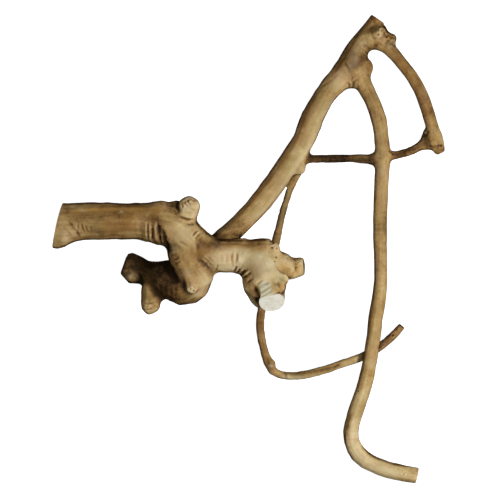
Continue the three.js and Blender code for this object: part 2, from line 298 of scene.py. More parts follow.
def slice_flat(wood, middle, facing, reach):
    """Cuts the wood at a plane, presses what is beyond onto it, and creases the rim"""
    layers = wood.edges.layers.float
    crease = layers.get("crease_edge") or layers.new("crease_edge")
    near = [face for face in wood.faces if (face.verts[0].co - middle).length < reach]
    around = {vert for face in near for vert in face.verts}
    edges = {edge for face in near for edge in face.edges}
    bmesh.ops.bisect_plane(
        wood, geom=[*around, *edges, *near], dist=ON_PLANE, plane_co=middle, plane_no=facing
    )
    beyond = [
        vert for vert in wood.verts
        if (vert.co - middle).length < reach + DRAWN_OUT and (vert.co - middle).dot(facing) > -ON_PLANE
    ]
    for vert in beyond:
        vert.co -= (vert.co - middle).dot(facing) * facing
    flat = set(beyond)
    for edge in {edge for vert in beyond for edge in vert.link_edges}:
        sides = [all(vert in flat for vert in face.verts) for face in edge.link_faces]
        if sides.count(True) == 1 and all(vert in flat for vert in edge.verts):
            edge[crease] = 1
            edge.smooth = False
    return len(beyond)

wood = bmesh.new()
wood.from_mesh(skin.data)
for name, plane in {**planes, "slice": SLICE}.items():
    print(name, "face has", slice_flat(wood, *plane), "vertices")
for face in wood.faces:
    face.smooth = True
wood.to_mesh(skin.data)
wood.free()

# %% [markdown]
# ## Which limb is each bit of skin on, and which way does its grain run?
# Grain follows the pith, the soft line up the middle of every limb. A short list of pith lines
# is enough: a vertex belongs to the limb whose pith is nearest for its thickness. It gets three
# numbers, two across the limb and one along it, and patterns that are stretched along the third
# number run with the limb through all its bends. Where two limbs are equally near, at a fork, the
# grain swirls in real wood, so a fourth number, hold, fades the streaks out there. Two more, its
# darkness and girth, say how dark the wood is there and how thick the limb. That darkness is partly
# the wood's own colour and partly painted shade: the limb behind the elbow and the cross twigs,
# which lie in shade, are given dark numbers.

# %% Pith lines: each point is x, y, z and radius in mm, then how dark the wood is there, its own colour and painted shade
PITH = {
    "trunk and arm": [
        (31, -82.5, 120, 14.6, 0.3), (28.6, -67, 104, 15.9, 0.3), (21, -46, 87, 23.2, 0.2),
        (12, -25, 72, 24.5, 0.13), (-2, -14, 66, 22.6, 0.15), (-23, -9, 64, 21.7, 0.17),
        (-41, -9, 65, 21.7, 0.25), (-53, -6, 66, 23.4, 0.46), (-64, 1, 68, 23.5, 0.48),
        (-77, 10.5, 70, 23.6, 0.42), (-88, 21, 71, 26, 0.41), (-99, 28.5, 71, 28.6, 0.48),
        (-112, 32, 70, 29.6, 0.54), (-129, 34, 69, 27.2, 0.55), (-142, 35, 68, 24.5, 0.68),
        (-168, 35.5, 66, 24.2, 0.79), (-194, 35.3, 64, 24.6, 0.74), (-220, 34.3, 62, 24.2, 0.58),
        (-236, 33.7, 60, 24, 0.46), (-264, 33, 58, 24, 0.4),
    ],
    "shoulder": [(-6, -11, 66, 20.5, 0.3), (10, -7, 66, 21.2, 0.38), (34, -4, 68, 13.6, 0.4)],
    "right knob": [(22, -18, 66, 22, 0.22), (50, -25, 66, 16, 0.36), (71, -22.6, 68, 11, 0.4)],
    "top knob": [(-91, 20, 72, 20, 0.25), (-85, 36, 78, 16, 0.28), (-76.5, 67, 88, 13, 0.2)],
    # the limb behind the elbow lies in shade: its darkest numbers, near 1, are painted shade
    "elbow": [
        (-86, 17, 70, 22, 0.46), (-86, -3, 71, 20.5, 0.56), (-78, -24, 70, 19.5, 0.58),
        (-71, -40, 61, 21.5, 0.48), (-84, -49, 50, 23.5, 0.74), (-108, -39, 38, 24, 1.0),
        (-124, -35, 29, 18.2, 1.0), (-137, -31, 21.5, 15.6, 1.02), (-150, -27, 17.4, 17.4, 0.98),
        (-171, -27, 17, 17.2, 0.96),
    ],
    "stub": [(-120, -40, 33, 16, 0.72), (-128, -64, 38, 13.6, 0.48), (-132, -85, 41, 9.5, 0.42)],
    "long branch": [
        (-54, -11, 54, 16.5, 0.6), (-36.5, 8.4, 50, 15.2, 0.62), (-16, 27.8, 46, 14.2, 0.68),
        (11.6, 57.3, 41, 14.2, 0.46), (48.3, 106.8, 40, 14.1, 0.42), (70, 141, 40, 14.3, 0.46),
        (82, 171, 39, 15.3, 0.51), (102.7, 205, 35, 14.4, 0.53), (116, 219, 32, 16.3, 0.46),
        (129, 235, 28, 17.8, 0.73), (138, 255, 22, 15, 0.56), (147, 269, 17, 13.6, 0.4),
        (156, 284, 13, 11, 0.6), (170, 306, 11, 7.2, 0.66),
    ],
    "arc": [
        (148, 272, 18, 12.6, 0.5), (162, 273, 17, 13.4, 0.58), (178, 265, 19, 10, 0.58),
        (190.4, 251.3, 23, 8.6, 0.5), (210.4, 225.2, 30, 8.1, 0.6), (228, 190, 35, 8.4, 0.7),
        (238, 157, 36, 8.5, 0.66), (244.4, 133, 34, 9.6, 0.6), (246.5, 117, 32, 8.6, 0.65),
    ],
    "droop": [
        (138, 231, 31, 15.6, 0.58), (150, 211, 36, 11.2, 0.5), (162, 185, 41, 10.2, 0.46),
        (171.3, 145, 44, 9.7, 0.53), (173, 117, 44, 11, 0.48), (170.7, 70, 43, 9.1, 0.5),
        (170.2, -8, 40, 9, 0.55), (168.1, -67, 36, 9.6, 0.52), (161.8, -112, 31, 9.2, 0.5),
        (155.6, -154, 26, 9.4, 0.44), (146.9, -189, 19.8, 10.4, 0.4), (134.8, -226, 13.2, 10.4, 0.32),
        (132.1, -244, 10.9, 10.7, 0.28), (135.9, -259, 10.9, 10.7, 0.28), (145.8, -272, 11.9, 11.5, 0.28),
        (161.8, -281.4, 12.6, 10.8, 0.28), (200, -293, 17.3, 10.6, 0.35), (224, -297, 20, 10.4, 0.35),
    ],
    # the cross twigs lie in shade behind the limbs: their dark numbers are painted shade
    "left cross twig": [(60, 115, 38, 7, 0.85), (81, 116.5, 39, 5.4, 0.98), (162, 116, 44, 9.4, 0.95)],
    "right cross twig": [
        (186, 121, 42, 6, 0.76), (197, 123, 38, 5.5, 0.8), (209.5, 127, 34, 5.6, 0.8),
        (226.5, 138, 31.5, 6.3, 0.8), (229.5, 155, 31.5, 3.4, 1.0),
    ],
    "back twig": [
        (58, 90, 29, 5.6, 0.55), (52, 76, 25, 4.7, 0.64), (44, 50, 21, 5, 0.76), (35, 12, 18, 5.8, 0.82),
        (21, -49, 16, 5.4, 0.78), (13.6, -101, 13, 5.7, 0.64), (20, -137, 11, 5.9, 0.6),
        (31, -160, 10, 6, 0.6), (55, -167, 9, 5.5, 0.58), (92, -160, 11, 5.6, 0.6),
        (141.6, -143.6, 12.5, 5.5, 0.55), (171.4, -127, 14, 5.8, 0.72), (198, -101, 20, 4.8, 0.8),
    ],
}

# %% Smooth curves through rows of numbers
def smooth_line(points, step):
    """Rows a step apart on the Catmull-Rom curve through some rows"""
    points = np.array(points, float)
    padded = np.vstack([2 * points[0] - points[1], points, 2 * points[-1] - points[-2]])
    rows = []
    for a, b, c, d in zip(padded, padded[1:], padded[2:], padded[3:]):
        count = max(1, round(np.linalg.norm((c - b)[:3]) / step))
        t = (np.arange(count) / count)[:, None]
        rows.append(b + 0.5 * t * (c - a + t * (2 * a - 5 * b + 4 * c - d + t * (3 * (b - c) + d - a))))
    return np.vstack([*rows, points[-1:]])

# no limb starts this way, so a direction across each can be worked out from it
ASKEW = (0.3, 0.2, 1)

def carried_frames(line):
    """Along a line: its direction and two across, carried forward without a twist"""
    along = np.gradient(line, axis=0)
    along /= np.linalg.norm(along, axis=1)[:, None]
    side = np.cross(along[0], ASKEW)
    sides = []
    for direction in along:
        side = side - direction * side.dot(direction)
        side /= np.linalg.norm(side)
        sides.append(side)
    return along, np.array(sides), np.cross(along, sides)

# %% Nearest pith for every vertex
PITH_STEP = 2 * MM
FORK_FADE = 0.35
# the grain numbers of one limb start this far, in metres, from the end of the last one's
GRAIN_GAP = 1

def lay_grain(places):
    """Grain numbers, hold, darkness and radius of each place; the darkness holds painted shade too"""
    best = np.full(len(places), np.inf)
    second = np.full(len(places), np.inf)
    grain = np.zeros((len(places), 3))
    tone = np.zeros(len(places))
    radius = np.ones(len(places))
    started = 0.0
    for stations in PITH.values():
        line = smooth_line(stations, PITH_STEP / MM) * (MM, MM, MM, MM, 1)
        along, across, over = carried_frames(line[:, :3])
        walked = np.arange(len(line)) * PITH_STEP
        away = np.full(len(places), np.inf)
        nearest = np.zeros(len(places), int)
        for index, (*centre, girth, _) in enumerate(line):
            gap = np.linalg.norm(places - centre, axis=1) / girth
            closer = gap < away
            away[closer] = gap[closer]
            nearest[closer] = index
        offset = places - line[nearest, :3]
        mine = np.column_stack([
            (offset * across[nearest]).sum(1),
            (offset * over[nearest]).sum(1),
            started + walked[nearest] + (offset * along[nearest]).sum(1),
        ])
        won = away < best
        second = np.where(won, best, np.minimum(second, away))
        best = np.where(won, away, best)
        grain[won] = mine[won]
        tone[won] = line[nearest[won], 4]
        radius[won] = line[nearest[won], 3]
        started += walked[-1] + GRAIN_GAP
    hold = np.clip((second - best) / FORK_FADE, 0, 1)
    return grain, hold, tone, radius

# %% The numbers are stored in the mesh
HOLD_PASSES, TONE_AND_SHADE_PASSES = 2, 20

def keep(mesh, name, values):
    """Stores one number or one vector a vertex, for the materials and for later steps"""
    kind, field = ("FLOAT", "value") if values.ndim == 1 else ("FLOAT_VECTOR", "vector")
    attribute = mesh.attributes.get(name) or mesh.attributes.new(name, kind, "POINT")
    attribute.data.foreach_set(field, values.astype(np.float32).ravel())

places = read(skin.data.vertices, "co")
net = Net(skin.data)
grain, hold, tone, radius = lay_grain(places)
keep(skin.data, "grain", grain)
keep(skin.data, "hold", net.soften(hold, HOLD_PASSES))
keep(skin.data, "tone", net.soften(tone, TONE_AND_SHADE_PASSES))
keep(skin.data, "girth", net.soften(radius, TONE_AND_SHADE_PASSES))
print("share of the skin that is fork:", round(float((hold < 0.5).mean()), 3))

# %% [markdown]
# ## Valleys
# Dirt and shade gather where two limbs meet. A place lies in a valley when it is deeper than a
# strongly softened copy of the skin.

# %% How deep each place lies between the limbs
VALLEY_DEPTH = 1.5 * MM
VALLEY_PASSES, BRIM_PASSES = 80, 3

valley = ((net.soften(places, VALLEY_PASSES) - places) * read(skin.data.vertices, "normal")).sum(1)
valley = np.clip(valley / VALLEY_DEPTH, 0, 1)
keep(skin.data, "valley", net.soften(valley, BRIM_PASSES))
print("share of the skin that is valley:", round(float((valley > 0.5).mean()), 3))

# %% [markdown]
# ## Marking the pieces
# The finished skin is parted into one piece for each limb of the frame. The squares are marked
# now, while they are few: each takes the number of the limb whose solid lies nearest. Only limbs
# whose box is close are measured, which saves most of the time.

# %% A number for each square, which its four smaller squares will inherit
CLOSE_BOX = 8 * MM

trees = []
for node in NODES:
    solid = bmesh.new()
    solid.from_mesh(frame["nodes"][node].data)
    trees.append(BVHTree.FromBMesh(solid))
    solid.free()

corners = [np.array(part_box(node)) for node in NODES]
middles = read(skin.data.polygons, "center")
owner = np.zeros(len(middles), int)
for index, place in enumerate(middles):
    gaps = [
        trees[number].find_nearest(place)[3]
        if (place > low - CLOSE_BOX).all() and (place < high + CLOSE_BOX).all() else math.inf
        for number, (low, high) in enumerate(corners)
    ]
    owner[index] = int(np.argmin(gaps))
mark = skin.data.attributes.new("owner", "INT", "FACE")
mark.data.foreach_set("value", owner.astype(np.int32))
print("squares of each limb:", dict(zip(NODES, np.bincount(owner).tolist())))

# %% Four squares from each
finer = skin.modifiers.new("finer", "SUBSURF")
finer.levels = finer.render_levels = 1
bpy.context.view_layer.objects.active = skin
bpy.ops.object.modifier_apply(modifier=finer.name)
print("vertices in the fine skin:", len(skin.data.vertices))

# %% [markdown]
# ## Sculpting by numbers
# Where bark was pushed together, at a bend or under a fork, coffee wood keeps deep folds. Stubs,
# scars and pits tell where twigs were lost. A sculptor would drag brushes over the skin. Here a
# stroke is a short list of points seen from above, dropped onto the skin, and a dab is one such
# point, seen from above or from below. Both raise or lower the vertices near them, or tint them.
# The heights of all of them add up in one list, and of two tints of one paint the stronger wins.

# %% The fine skin as arrays
places = read(skin.data.vertices, "co")
normals = read(skin.data.vertices, "normal")
grain = read(skin.data.attributes["grain"].data, "vector")
hold, girth = (read(skin.data.attributes[name].data, "value", 1) for name in ("hold", "girth"))
height = np.zeros(len(places))
# dust and umber, the old bark, darken the wood, and both also carry painted shade; bleach lightens
# it, and along the arm's upper side it is painted light; then come five washes, and the last two
# mark the fresh cut and the older slice
PAINTS = ("dust", "umber", "bleach", "cream", "gold", "amber", "rose", "khaki", "sawn", "sliced")
paint = {name: np.zeros(len(places)) for name in PAINTS}

def on_face(middle, facing, reach):
    """1 for each vertex that lies on a flat face, 0 for the others"""
    offset = places - np.array(middle)
    near = np.linalg.norm(offset, axis=1) < reach
    return ((abs(offset @ np.array(facing)) < ON_PLANE * 2) & near).astype(float)

# only the foot was sawn lately, and the other ends have aged
AGED_CUT = 0.5
cut_faces = sum(on_face(*plane) for plane in planes.values())
paint["sawn"] = on_face(*planes["foot"])
paint["umber"] = AGED_CUT * (cut_faces - paint["sawn"])
paint["sliced"] = on_face(*SLICE) * (1 - cut_faces)
bark = BVHTree.FromObject(skin, bpy.context.evaluated_depsgraph_get())
print("vertices on sawn faces:", int(paint["sawn"].sum()))

# %% Soft noise from a lattice of random numbers
LATTICE = np.random.default_rng(seed=11).uniform(-1, 1, size=8192)
# large odd numbers, which scatter the corners of the cells over the lattice
STRIDES = np.array([73856093, 19349663, 83492791])
SEED_SHIFT = 31.7

def ease(share):
    """From 0 to 1 as the share does, but with a gentle start and end"""
    return share * share * (3 - 2 * share)

def noise(points, size, seed):
    """Soft random values from -1 to 1 that change over about one size"""
    cells = points / (size * MM) + SEED_SHIFT * seed
    low = np.floor(cells).astype(np.int64)
    part = ease(cells - low)
    total = np.zeros(len(points))
    for corner in np.ndindex(2, 2, 2):
        weight = np.where(corner, part, 1 - part).prod(1)
        total += weight * LATTICE[((low + corner) * STRIDES).sum(1) % len(LATTICE)]
    return total

# %% Finding the bark, and the vertices round it
# rays start this far above or below the ground, in metres
RAY_START = 0.4
# a brush is not felt beyond this many widths
BRUSH_REACH = 3

def on_bark(x, y, under=False):
    """The point of the skin above or below a place, given in mm"""
    start = (x * MM, y * MM, -RAY_START if under else RAY_START)
    return bark.ray_cast(start, (0, 0, 1 if under else -1))[0]

def bell(gap, width):
    """1 where the gap is 0, and nearly 0 from two widths on"""
    return np.exp(-((gap / width) ** 2))

def near_rows(rows, width):
    """Which vertices are near some points, how far they are, and from which of the points"""
    low, high = rows.min(0) - BRUSH_REACH * width, rows.max(0) + BRUSH_REACH * width
    near = np.flatnonzero(((places > low) & (places < high)).all(1))
    gaps = np.linalg.norm(places[near, None] - rows[None], axis=2)
    return near, gaps.min(1), gaps.argmin(1)

# %% Brushes: a stroke, a dab, and what they do
STROKE_STEP = 0.7
# the share of a stroke's length that tapers at each end, and how faint and narrow the tip gets
TIP, BAND_TIP = 0.36, 0.1
FAINTEST, NARROWEST = 0.05, 0.7
UNEVEN, UNEVEN_SIZE = 0.35, 5

def stroke(points, width, tip=TIP):
    """Vertices near a line and how much each feels it: most on the line, hardly any at its tips"""
    hits = [on_bark(x, y) for x, y in smooth_line(points, STROKE_STEP)]
    rows = np.array([hit for hit in hits if hit])
    near, gap, which = near_rows(rows, width * MM)
    share = which / max(1, len(rows) - 1)
    fade = ease(np.clip(np.minimum(share, 1 - share) / tip, FAINTEST, 1))
    uneven = 1 + UNEVEN * noise(places[near], UNEVEN_SIZE, seed=12)
    half_width = width * MM * (NARROWEST + (1 - NARROWEST) * fade)
    return near, fade * uneven * bell(gap, half_width)

def dab(x, y, width, under=False):
    """Vertices near a point and how much each feels it"""
    # a dab that misses the wood by a hair goes to the nearest bark
    hit = on_bark(x, y, under) or bark.find_nearest((x * MM, y * MM, FOCUS_HEIGHT))[0]
    near, gap, _ = near_rows(np.array([hit]), width * MM)
    return near, bell(gap, width * MM)

def tint(name, felt, amount):
    """Lays one paint on, where it is stronger than what is there"""
    near, strength = felt
    paint[name][near] = np.maximum(paint[name][near], amount * strength)

def raise_bark(felt, millimetres):
    """Raises what feels a brush, or sinks it when the number is negative"""
    near, strength = felt
    height[near] += millimetres * MM * strength

# %% [markdown]
# ## Lumps and flutes
# Under the big marks the whole skin is a little uneven. Broad lumps turn with no direction, and
# fine flutes follow the grain. Both come from soft noise: random numbers on a lattice, blended.

# %% Lumps everywhere, flutes along the limbs
THICK, THINNEST, THICKEST = 20 * MM, 0.2, 1.3
# limbs of this radius have no twig lumps, and those thinner by the second number have them all
TWIG_RADIUS, TWIG_RANGE = 8 * MM, 3 * MM
SWELLING, LUMP, FLUTE, TWIG_LUMP = 0.5 * MM, 0.45 * MM, 0.2 * MM, 0.35 * MM
ALONG_GRAIN = (1, 1, 0.14)

thickness = np.clip(girth / THICK, THINNEST, THICKEST)
twiggy = np.clip((TWIG_RADIUS - girth) / TWIG_RANGE, 0, 1)
height += SWELLING * thickness * noise(places, size=24, seed=1)
height += LUMP * thickness ** 0.6 * noise(places, size=9, seed=2)
height += FLUTE * thickness ** 0.5 * hold * noise(grain * ALONG_GRAIN, size=4.5, seed=3)
height += TWIG_LUMP * twiggy * noise(places, size=4, seed=6)
print("lumps and flutes in mm:", round(float(height.min() / MM), 2), "to", round(float(height.max() / MM), 2))

# %% [markdown]
# ## Fine wrinkles
# Round every big fold the bark is finely wrinkled. The wrinkles run round the limb and wander, and
# they follow the lines where a stretched noise crosses zero. A list of places says where they are.

# %% Wrinkle places: x, y, size and depth in mm, seen from above and then from below
WRINKLED = [
    (-126, 24, 18, 0.5), (-114, 14, 12, 0.6), (-222, 26, 13, 0.5), (-98, -10, 13, 0.2),
    (-56, -18, 14, 0.6), (-20, -12, 11, 0.6), (-8, -30, 12, 0.5), (-108, -52, 18, 0.15),
    (-130, -74, 14, 0.8), (-79, 54, 13, 0.7), (-82, 38, 9, 0.7), (-66, 17, 11, 0.7), (133, 213, 12, 0.8),
    (152, 266, 15, 0.6), (61, -24, 11, 0.5), (136, -250, 15, 0.5), (8, -62, 11, 0.8), (172, 279, 11, 0.8),
    (243, 134, 9, 0.6), (24, -150, 7, 0.5), (-152, -32, 14, 0.2), (20, 0, 14, 0.3), (66, 106, 8, 0.3),
    (174, 117, 10, 0.5), (-70, -50, 20, 0.2),
]
WRINKLED_BELOW = [
    (-120, 25, 22, 0.9), (-60, -10, 22, 0.7), (0, -35, 18, 0.9), (50, -22, 16, 0.6), (-80, -50, 22, 0.8),
    (-130, -34, 16, 0.7), (132, 222, 20, 0.8), (160, 275, 14, 0.7), (140, -262, 20, 0.6),
    (-200, 34, 30, 0.4), (80, 165, 25, 0.4), (170, 10, 40, 0.3), (240, 140, 14, 0.5),
]

# %% Wrinkles where the noise crosses zero
ROUND_GRAIN = (0.22, 0.22, 1)
WRINKLE_PITCH, WRINKLE_WIDTH = 4.2, 0.3
# the dark in each wrinkle is dust and painted shade
WANDER, WRINKLED_ALL_OVER, WRINKLE_DUST_AND_SHADE = 0.25, 0.05, 0.35

wander = noise(grain * ROUND_GRAIN, WRINKLE_PITCH, seed=5) + WANDER * noise(places, size=6, seed=8)
wrinkle = bell(wander, WRINKLE_WIDTH)
wrinkled = WRINKLED_ALL_OVER * hold
for under, spots in ((False, WRINKLED), (True, WRINKLED_BELOW)):
    for x, y, size, depth in spots:
        near, felt = dab(x, y, size, under)
        wrinkled[near] = np.maximum(wrinkled[near], depth * felt)
height -= MM * thickness ** 0.5 * wrinkled * wrinkle
paint["dust"] += WRINKLE_DUST_AND_SHADE * wrinkled * wrinkle
print("wrinkle places:", len(WRINKLED) + len(WRINKLED_BELOW))

# %% [markdown]
# ## Folds
# Each fold is one line of the list: how deep it is, how wide, and the points that it runs through.
# A negative depth is a ridge, the roll of bark that was squeezed up between two creases. Dust
# gathers in a crease, and its darkness there is also painted shade; the top of a ridge is rubbed
# pale and golden.

# %% Folds on the stout arm and the top knob: depth and width, then points, in mm
FOLDS = [
    # where the stout arm was pushed against the knot
    (0.6, 1.8, [(-131, 36), (-130.5, 24), (-130.5, 12), (-129, 5)]),
    (1.2, 2.3, [(-124, 32), (-125, 20), (-125.5, 10), (-124, 2)]),
    (1.4, 2.7, [(-119, 40), (-117, 26), (-116, 14), (-113, 2)]),
    (2.0, 3.6, [(-115, 32), (-110.5, 18), (-107, 6), (-101, -6)]),
    (0.5, 2.0, [(-138, 26), (-138.5, 16), (-137, 8)]),
    (-1.1, 1.7, [(-133, 38), (-133.5, 24), (-133, 8)]),
    (-1.6, 1.9, [(-128, 36), (-128.5, 20), (-128, 5)]),
    (-2.0, 2.4, [(-120.5, 38), (-121, 22), (-120.5, 6)]),
    (-1.2, 1.7, [(-113, 27), (-112, 13), (-109, 1)]),
    # by the arm's sawn end, where the flare begins
    (1.3, 2.2, [(-236, 38), (-229, 30), (-222, 20), (-217, 10)]),
    (-1.0, 2.4, [(-239, 32), (-232, 24), (-226, 14)]),
    (0.9, 1.3, [(-221, 32), (-220, 23)]),
    (0.9, 1.3, [(-216.5, 34), (-215, 26), (-212, 19)]),
    (0.7, 1.3, [(-212, 33), (-210, 25), (-208, 20)]),
    (0.5, 1.3, [(-205, 30), (-203, 22)]),
    # on and round the top knob
    (2.3, 1.5, [(-92, 43), (-86, 40), (-79, 37.6), (-69, 37.6)]),
    (1.0, 1.2, [(-83, 33), (-76, 31), (-70, 33)]),
    (1.3, 1.2, [(-80.5, 66), (-78.5, 60), (-74, 55)]),
    (1.2, 1.2, [(-85, 63), (-82, 57), (-79, 52)]),
    (0.9, 1.2, [(-72, 64), (-69, 59)]),
    (0.9, 1.2, [(-88, 60), (-86, 52)]),
    (0.8, 1.2, [(-74, 50), (-69, 48)]),
    (0.7, 1.3, [(-86, 47), (-80, 46), (-75, 44)]),
    (-0.9, 2.0, [(-77.5, 64), (-75, 60)]),
    (1.6, 2.4, [(-95, 61), (-92, 50), (-91, 44)]),
    (0.7, 1.3, [(-98, 51), (-93, 44)]),
]
print("folds so far:", len(FOLDS))

# %% Folds on the knot, the elbow and the trunk
FOLDS += [
    # on the knot
    (0.9, 2.0, [(-76, 35), (-70, 30)]),
    (1.1, 1.4, [(-74, 16), (-70, 21), (-66, 25)]),
    (1.1, 1.4, [(-71, 11), (-67, 16.5), (-62, 22)]),
    (0.8, 1.3, [(-66, 9), (-62, 14), (-58, 18)]),
    (-0.7, 1.4, [(-72.5, 13.5), (-68.5, 18.5), (-64, 23.5)]),
    (0.7, 1.4, [(-57, 27), (-55, 17)]),
    (0.9, 1.8, [(-93, 9), (-86, 7), (-77, 1)]),
    # down the left side of the elbow's ridge
    (0.8, 1.6, [(-104, -8), (-98, -8), (-92, -5)]),
    (0.6, 1.5, [(-100, -14), (-94, -13), (-89, -9)]),
    (0.5, 1.4, [(-97, -20), (-92, -18), (-88, -15)]),
    # from the elbow into the trunk
    (1.2, 1.1, [(-40.5, -19), (-42, -25), (-44, -30)]),
    (0.9, 1.4, [(-66, -12), (-57, -20), (-49, -29)]),
    (0.9, 1.4, [(-61.5, -9), (-55, -15), (-47, -24)]),
    (0.7, 1.3, [(-56, -8), (-50, -14), (-45, -21)]),
    # rings round the trunk
    (1.4, 1.5, [(-17, 0), (-16.5, -12), (-17.5, -22)]),
    (0.8, 1.4, [(-23.5, -3), (-23, -15), (-22, -26)]),
    (-1.0, 1.6, [(-20, -3), (-19.8, -20)]),
    (-0.6, 1.6, [(-13, -6), (-13, -20)]),
    (0.5, 1.4, [(-30, -6), (-29.5, -22)]),
    (0.5, 1.6, [(-36, -4), (-36, -20)]),
    # the fan of folds inside the trunk's bend
    (1.9, 1.5, [(-16, -22), (-19, -28), (-23, -34)]),
    (1.9, 1.5, [(-12, -25), (-15, -31), (-19, -36)]),
    (2.3, 1.7, [(-5, -26), (-9, -31), (-14, -37)]),
    (1.8, 1.5, [(-1, -25), (-7, -30), (-12, -34)]),
    (1.8, 1.7, [(3, -29), (-2, -33), (-8, -38)]),
    (1.2, 1.7, [(7, -38), (1, -41), (-5, -45)]),
    (0.9, 1.8, [(19, -40), (13, -43), (7, -47)]),
    (-1.2, 1.5, [(-14, -23), (-17, -29), (-20.5, -34)]),
    (-1.4, 1.6, [(-8, -26), (-12, -31), (-16, -36)]),
    (-1.4, 1.6, [(0, -28), (-5, -33), (-10, -38)]),
    (-1.0, 1.6, [(5, -33), (0, -37), (-5, -42)]),
    # the hollow flank beside the sawn foot
    (3.0, 4.6, [(2, -44), (7, -52), (10, -61), (12, -70), (13, -76)]),
    # callus ring of the right knob
    (1.0, 1.8, [(58, -11), (60.5, -24), (58, -37)]),
    (0.8, 1.4, [(49, -9), (50, -14)]),
    (-0.7, 1.6, [(63, -12), (65.5, -24), (63, -36)]),
    # rings round the limb behind the elbow, and round its stub
    (0.4, 1.8, [(-116, -45), (-115, -58)]),
    (0.4, 1.8, [(-109, -44), (-108, -63)]),
    (0.4, 1.8, [(-102, -43), (-101, -65)]),
    (0.4, 1.8, [(-95.5, -45), (-95, -66)]),
    (0.9, 1.4, [(-141, -69), (-130, -71), (-119, -68)]),
    (0.8, 1.3, [(-140, -77), (-131, -79.5), (-121, -77)]),
    (1.6, 2.2, [(-146, -30), (-143, -36), (-143, -43)]),
]
print("folds so far:", len(FOLDS))

# %% Folds on the upper fork, the crown and the thin limbs
FOLDS += [
    # under the upper fork
    (1.0, 2.4, [(91, 209), (104, 218), (118, 231)]),
    (0.9, 1.6, [(135.5, 219), (135, 212), (134, 207)]),
    (0.5, 1.5, [(130, 217), (129.5, 210)]),
    (0.5, 1.5, [(140, 216), (141, 210)]),
    (-0.8, 1.6, [(132.5, 217), (132, 209)]),
    # from the shoulder up into the crown
    (0.8, 2.0, [(122, 245), (128, 236), (131, 226)]),
    (0.5, 4.5, [(148, 283), (155, 285), (161, 289), (165, 293)]),
    (1.2, 2.0, [(159, 283), (161, 276), (166, 271)]),
    (0.7, 1.5, [(137, 273), (143, 281)]),
    (0.7, 1.5, [(146, 269), (152, 261)]),
    (1.3, 1.8, [(178, 290), (181, 284), (183, 281)]),
    (0.9, 1.5, [(189, 266), (192, 263)]),
    # the spread end of the arc, and the collar round the droop
    (0.6, 1.8, [(231, 137), (237, 132.5), (243, 132)]),
    (0.8, 1.4, [(178, 127), (184, 125), (187, 119)]),
    # a tool mark near the droop's end
    (0.6, 1.0, [(196, -291), (203, -291.5), (206, -293), (206.5, -297)]),
    (0.5, 1.0, [(197, -289), (200, -288.5)]),
    # nodes of the back twig
    (-0.8, 2.0, [(50, -161), (50, -172)]),
    (0.3, 1.4, [(47.5, -160), (47.5, -171)]),
]

# %% Press the folds in
# the dark in each crease is dust and painted shade
FOLD_DUST_AND_SHADE, RIDGE_CREAM, RIDGE_GOLD = 0.16, 0.22, 0.35

for depth, width, points in FOLDS:
    felt = stroke(points, width)
    raise_bark(felt, -depth)
    tint("dust", felt, FOLD_DUST_AND_SHADE * max(0, depth))
    tint("cream", felt, RIDGE_CREAM * max(0, -depth))
    tint("gold", felt, RIDGE_GOLD * max(0, -depth))
print("folds:", len(FOLDS))

# %% [markdown]
# ## Scars, pits, knobs and burrs
# A scar is a ring of callus round a sunken middle, and paler than the bark. A pit is a small
# dark hole, left by a twig no thicker than a match, darkened with dust and painted shade. A knob
# is a stub that healed over. All three are dabs. A burr is a place that is knobbly all over: noise
# makes its warts, and dust and painted shade lie between them.

# %% Scars, pits and knobs: place, size and, for knobs, how far they stand out, all in mm
SCARS = [(33, 4, 5), (-74, -53, 4.5), (170.5, 281.5, 5), (-154, -36, 5)]
PITS = [
    (30.5, 7, 1.6), (35, 0.5, 1.7), (34.5, -11, 1.3), (33, -16, 1.2), (29, 1.5, 1.1), (-98, -25.5, 2.6),
    (-86, 54.5, 1.3), (-76, -52, 1.2), (-72, -54, 1.3), (172, 284, 1.2), (168, 279, 1.3), (179, 276, 1.2),
    (141.5, -185.5, 1), (175.5, -170, 0.9), (201, -293.5, 0.9), (192, -105, 1.1), (187, -113, 1.2),
]
KNOBS = [
    (175, 274, 4, 1.2), (186, 273, 4.5, 1.4), (184, 264, 3.2, 1.4), (165, 300, 4, 0.9),
    (229, 151, 2.6, 1.8), (233, 146, 4, 0.8), (29.5, -150, 5, 3.6), (-153, -37, 6, 1.3), (-247, 1, 5, 1),
    (35.5, -50.5, 5, 3), (68.5, 103.5, 5, 1.8), (-71, 57, 5, 1), (152, 240, 7, 1), (158, 236, 4, 1.2),
    (183, 122, 4, 1.0), (164, 119, 4, 0.9), (248, 132, 5, 1.0), (-115, -67, 5, 1.2), (-133, -79, 4, 1.0),
    (168, 281, 5, 1.0), (50, -166, 3, 0.6),
]

# %% Raise and sink them
SCAR_RISE, SCAR_SINK, SCAR_MIDDLE, SCAR_CREAM = 1.2, 1.6, 0.6, 0.6
# the dark in each pit is dust and painted shade
PIT_DEPTH, PIT_DUST_AND_SHADE = 1.3, 0.6

for x, y, size in SCARS:
    raise_bark(dab(x, y, size), SCAR_RISE)
    raise_bark(dab(x, y, size * SCAR_MIDDLE), -SCAR_SINK)
    tint("cream", dab(x, y, size), SCAR_CREAM)
for x, y, size in PITS:
    raise_bark(dab(x, y, size), -PIT_DEPTH)
    tint("dust", dab(x, y, size), PIT_DUST_AND_SHADE)
for x, y, size, rise in KNOBS:
    raise_bark(dab(x, y, size), rise)
print("scars, pits and knobs:", len(SCARS), len(PITS), len(KNOBS))

# %% Burrs: place, size and depth in mm
BURR_PITCH = 3.6
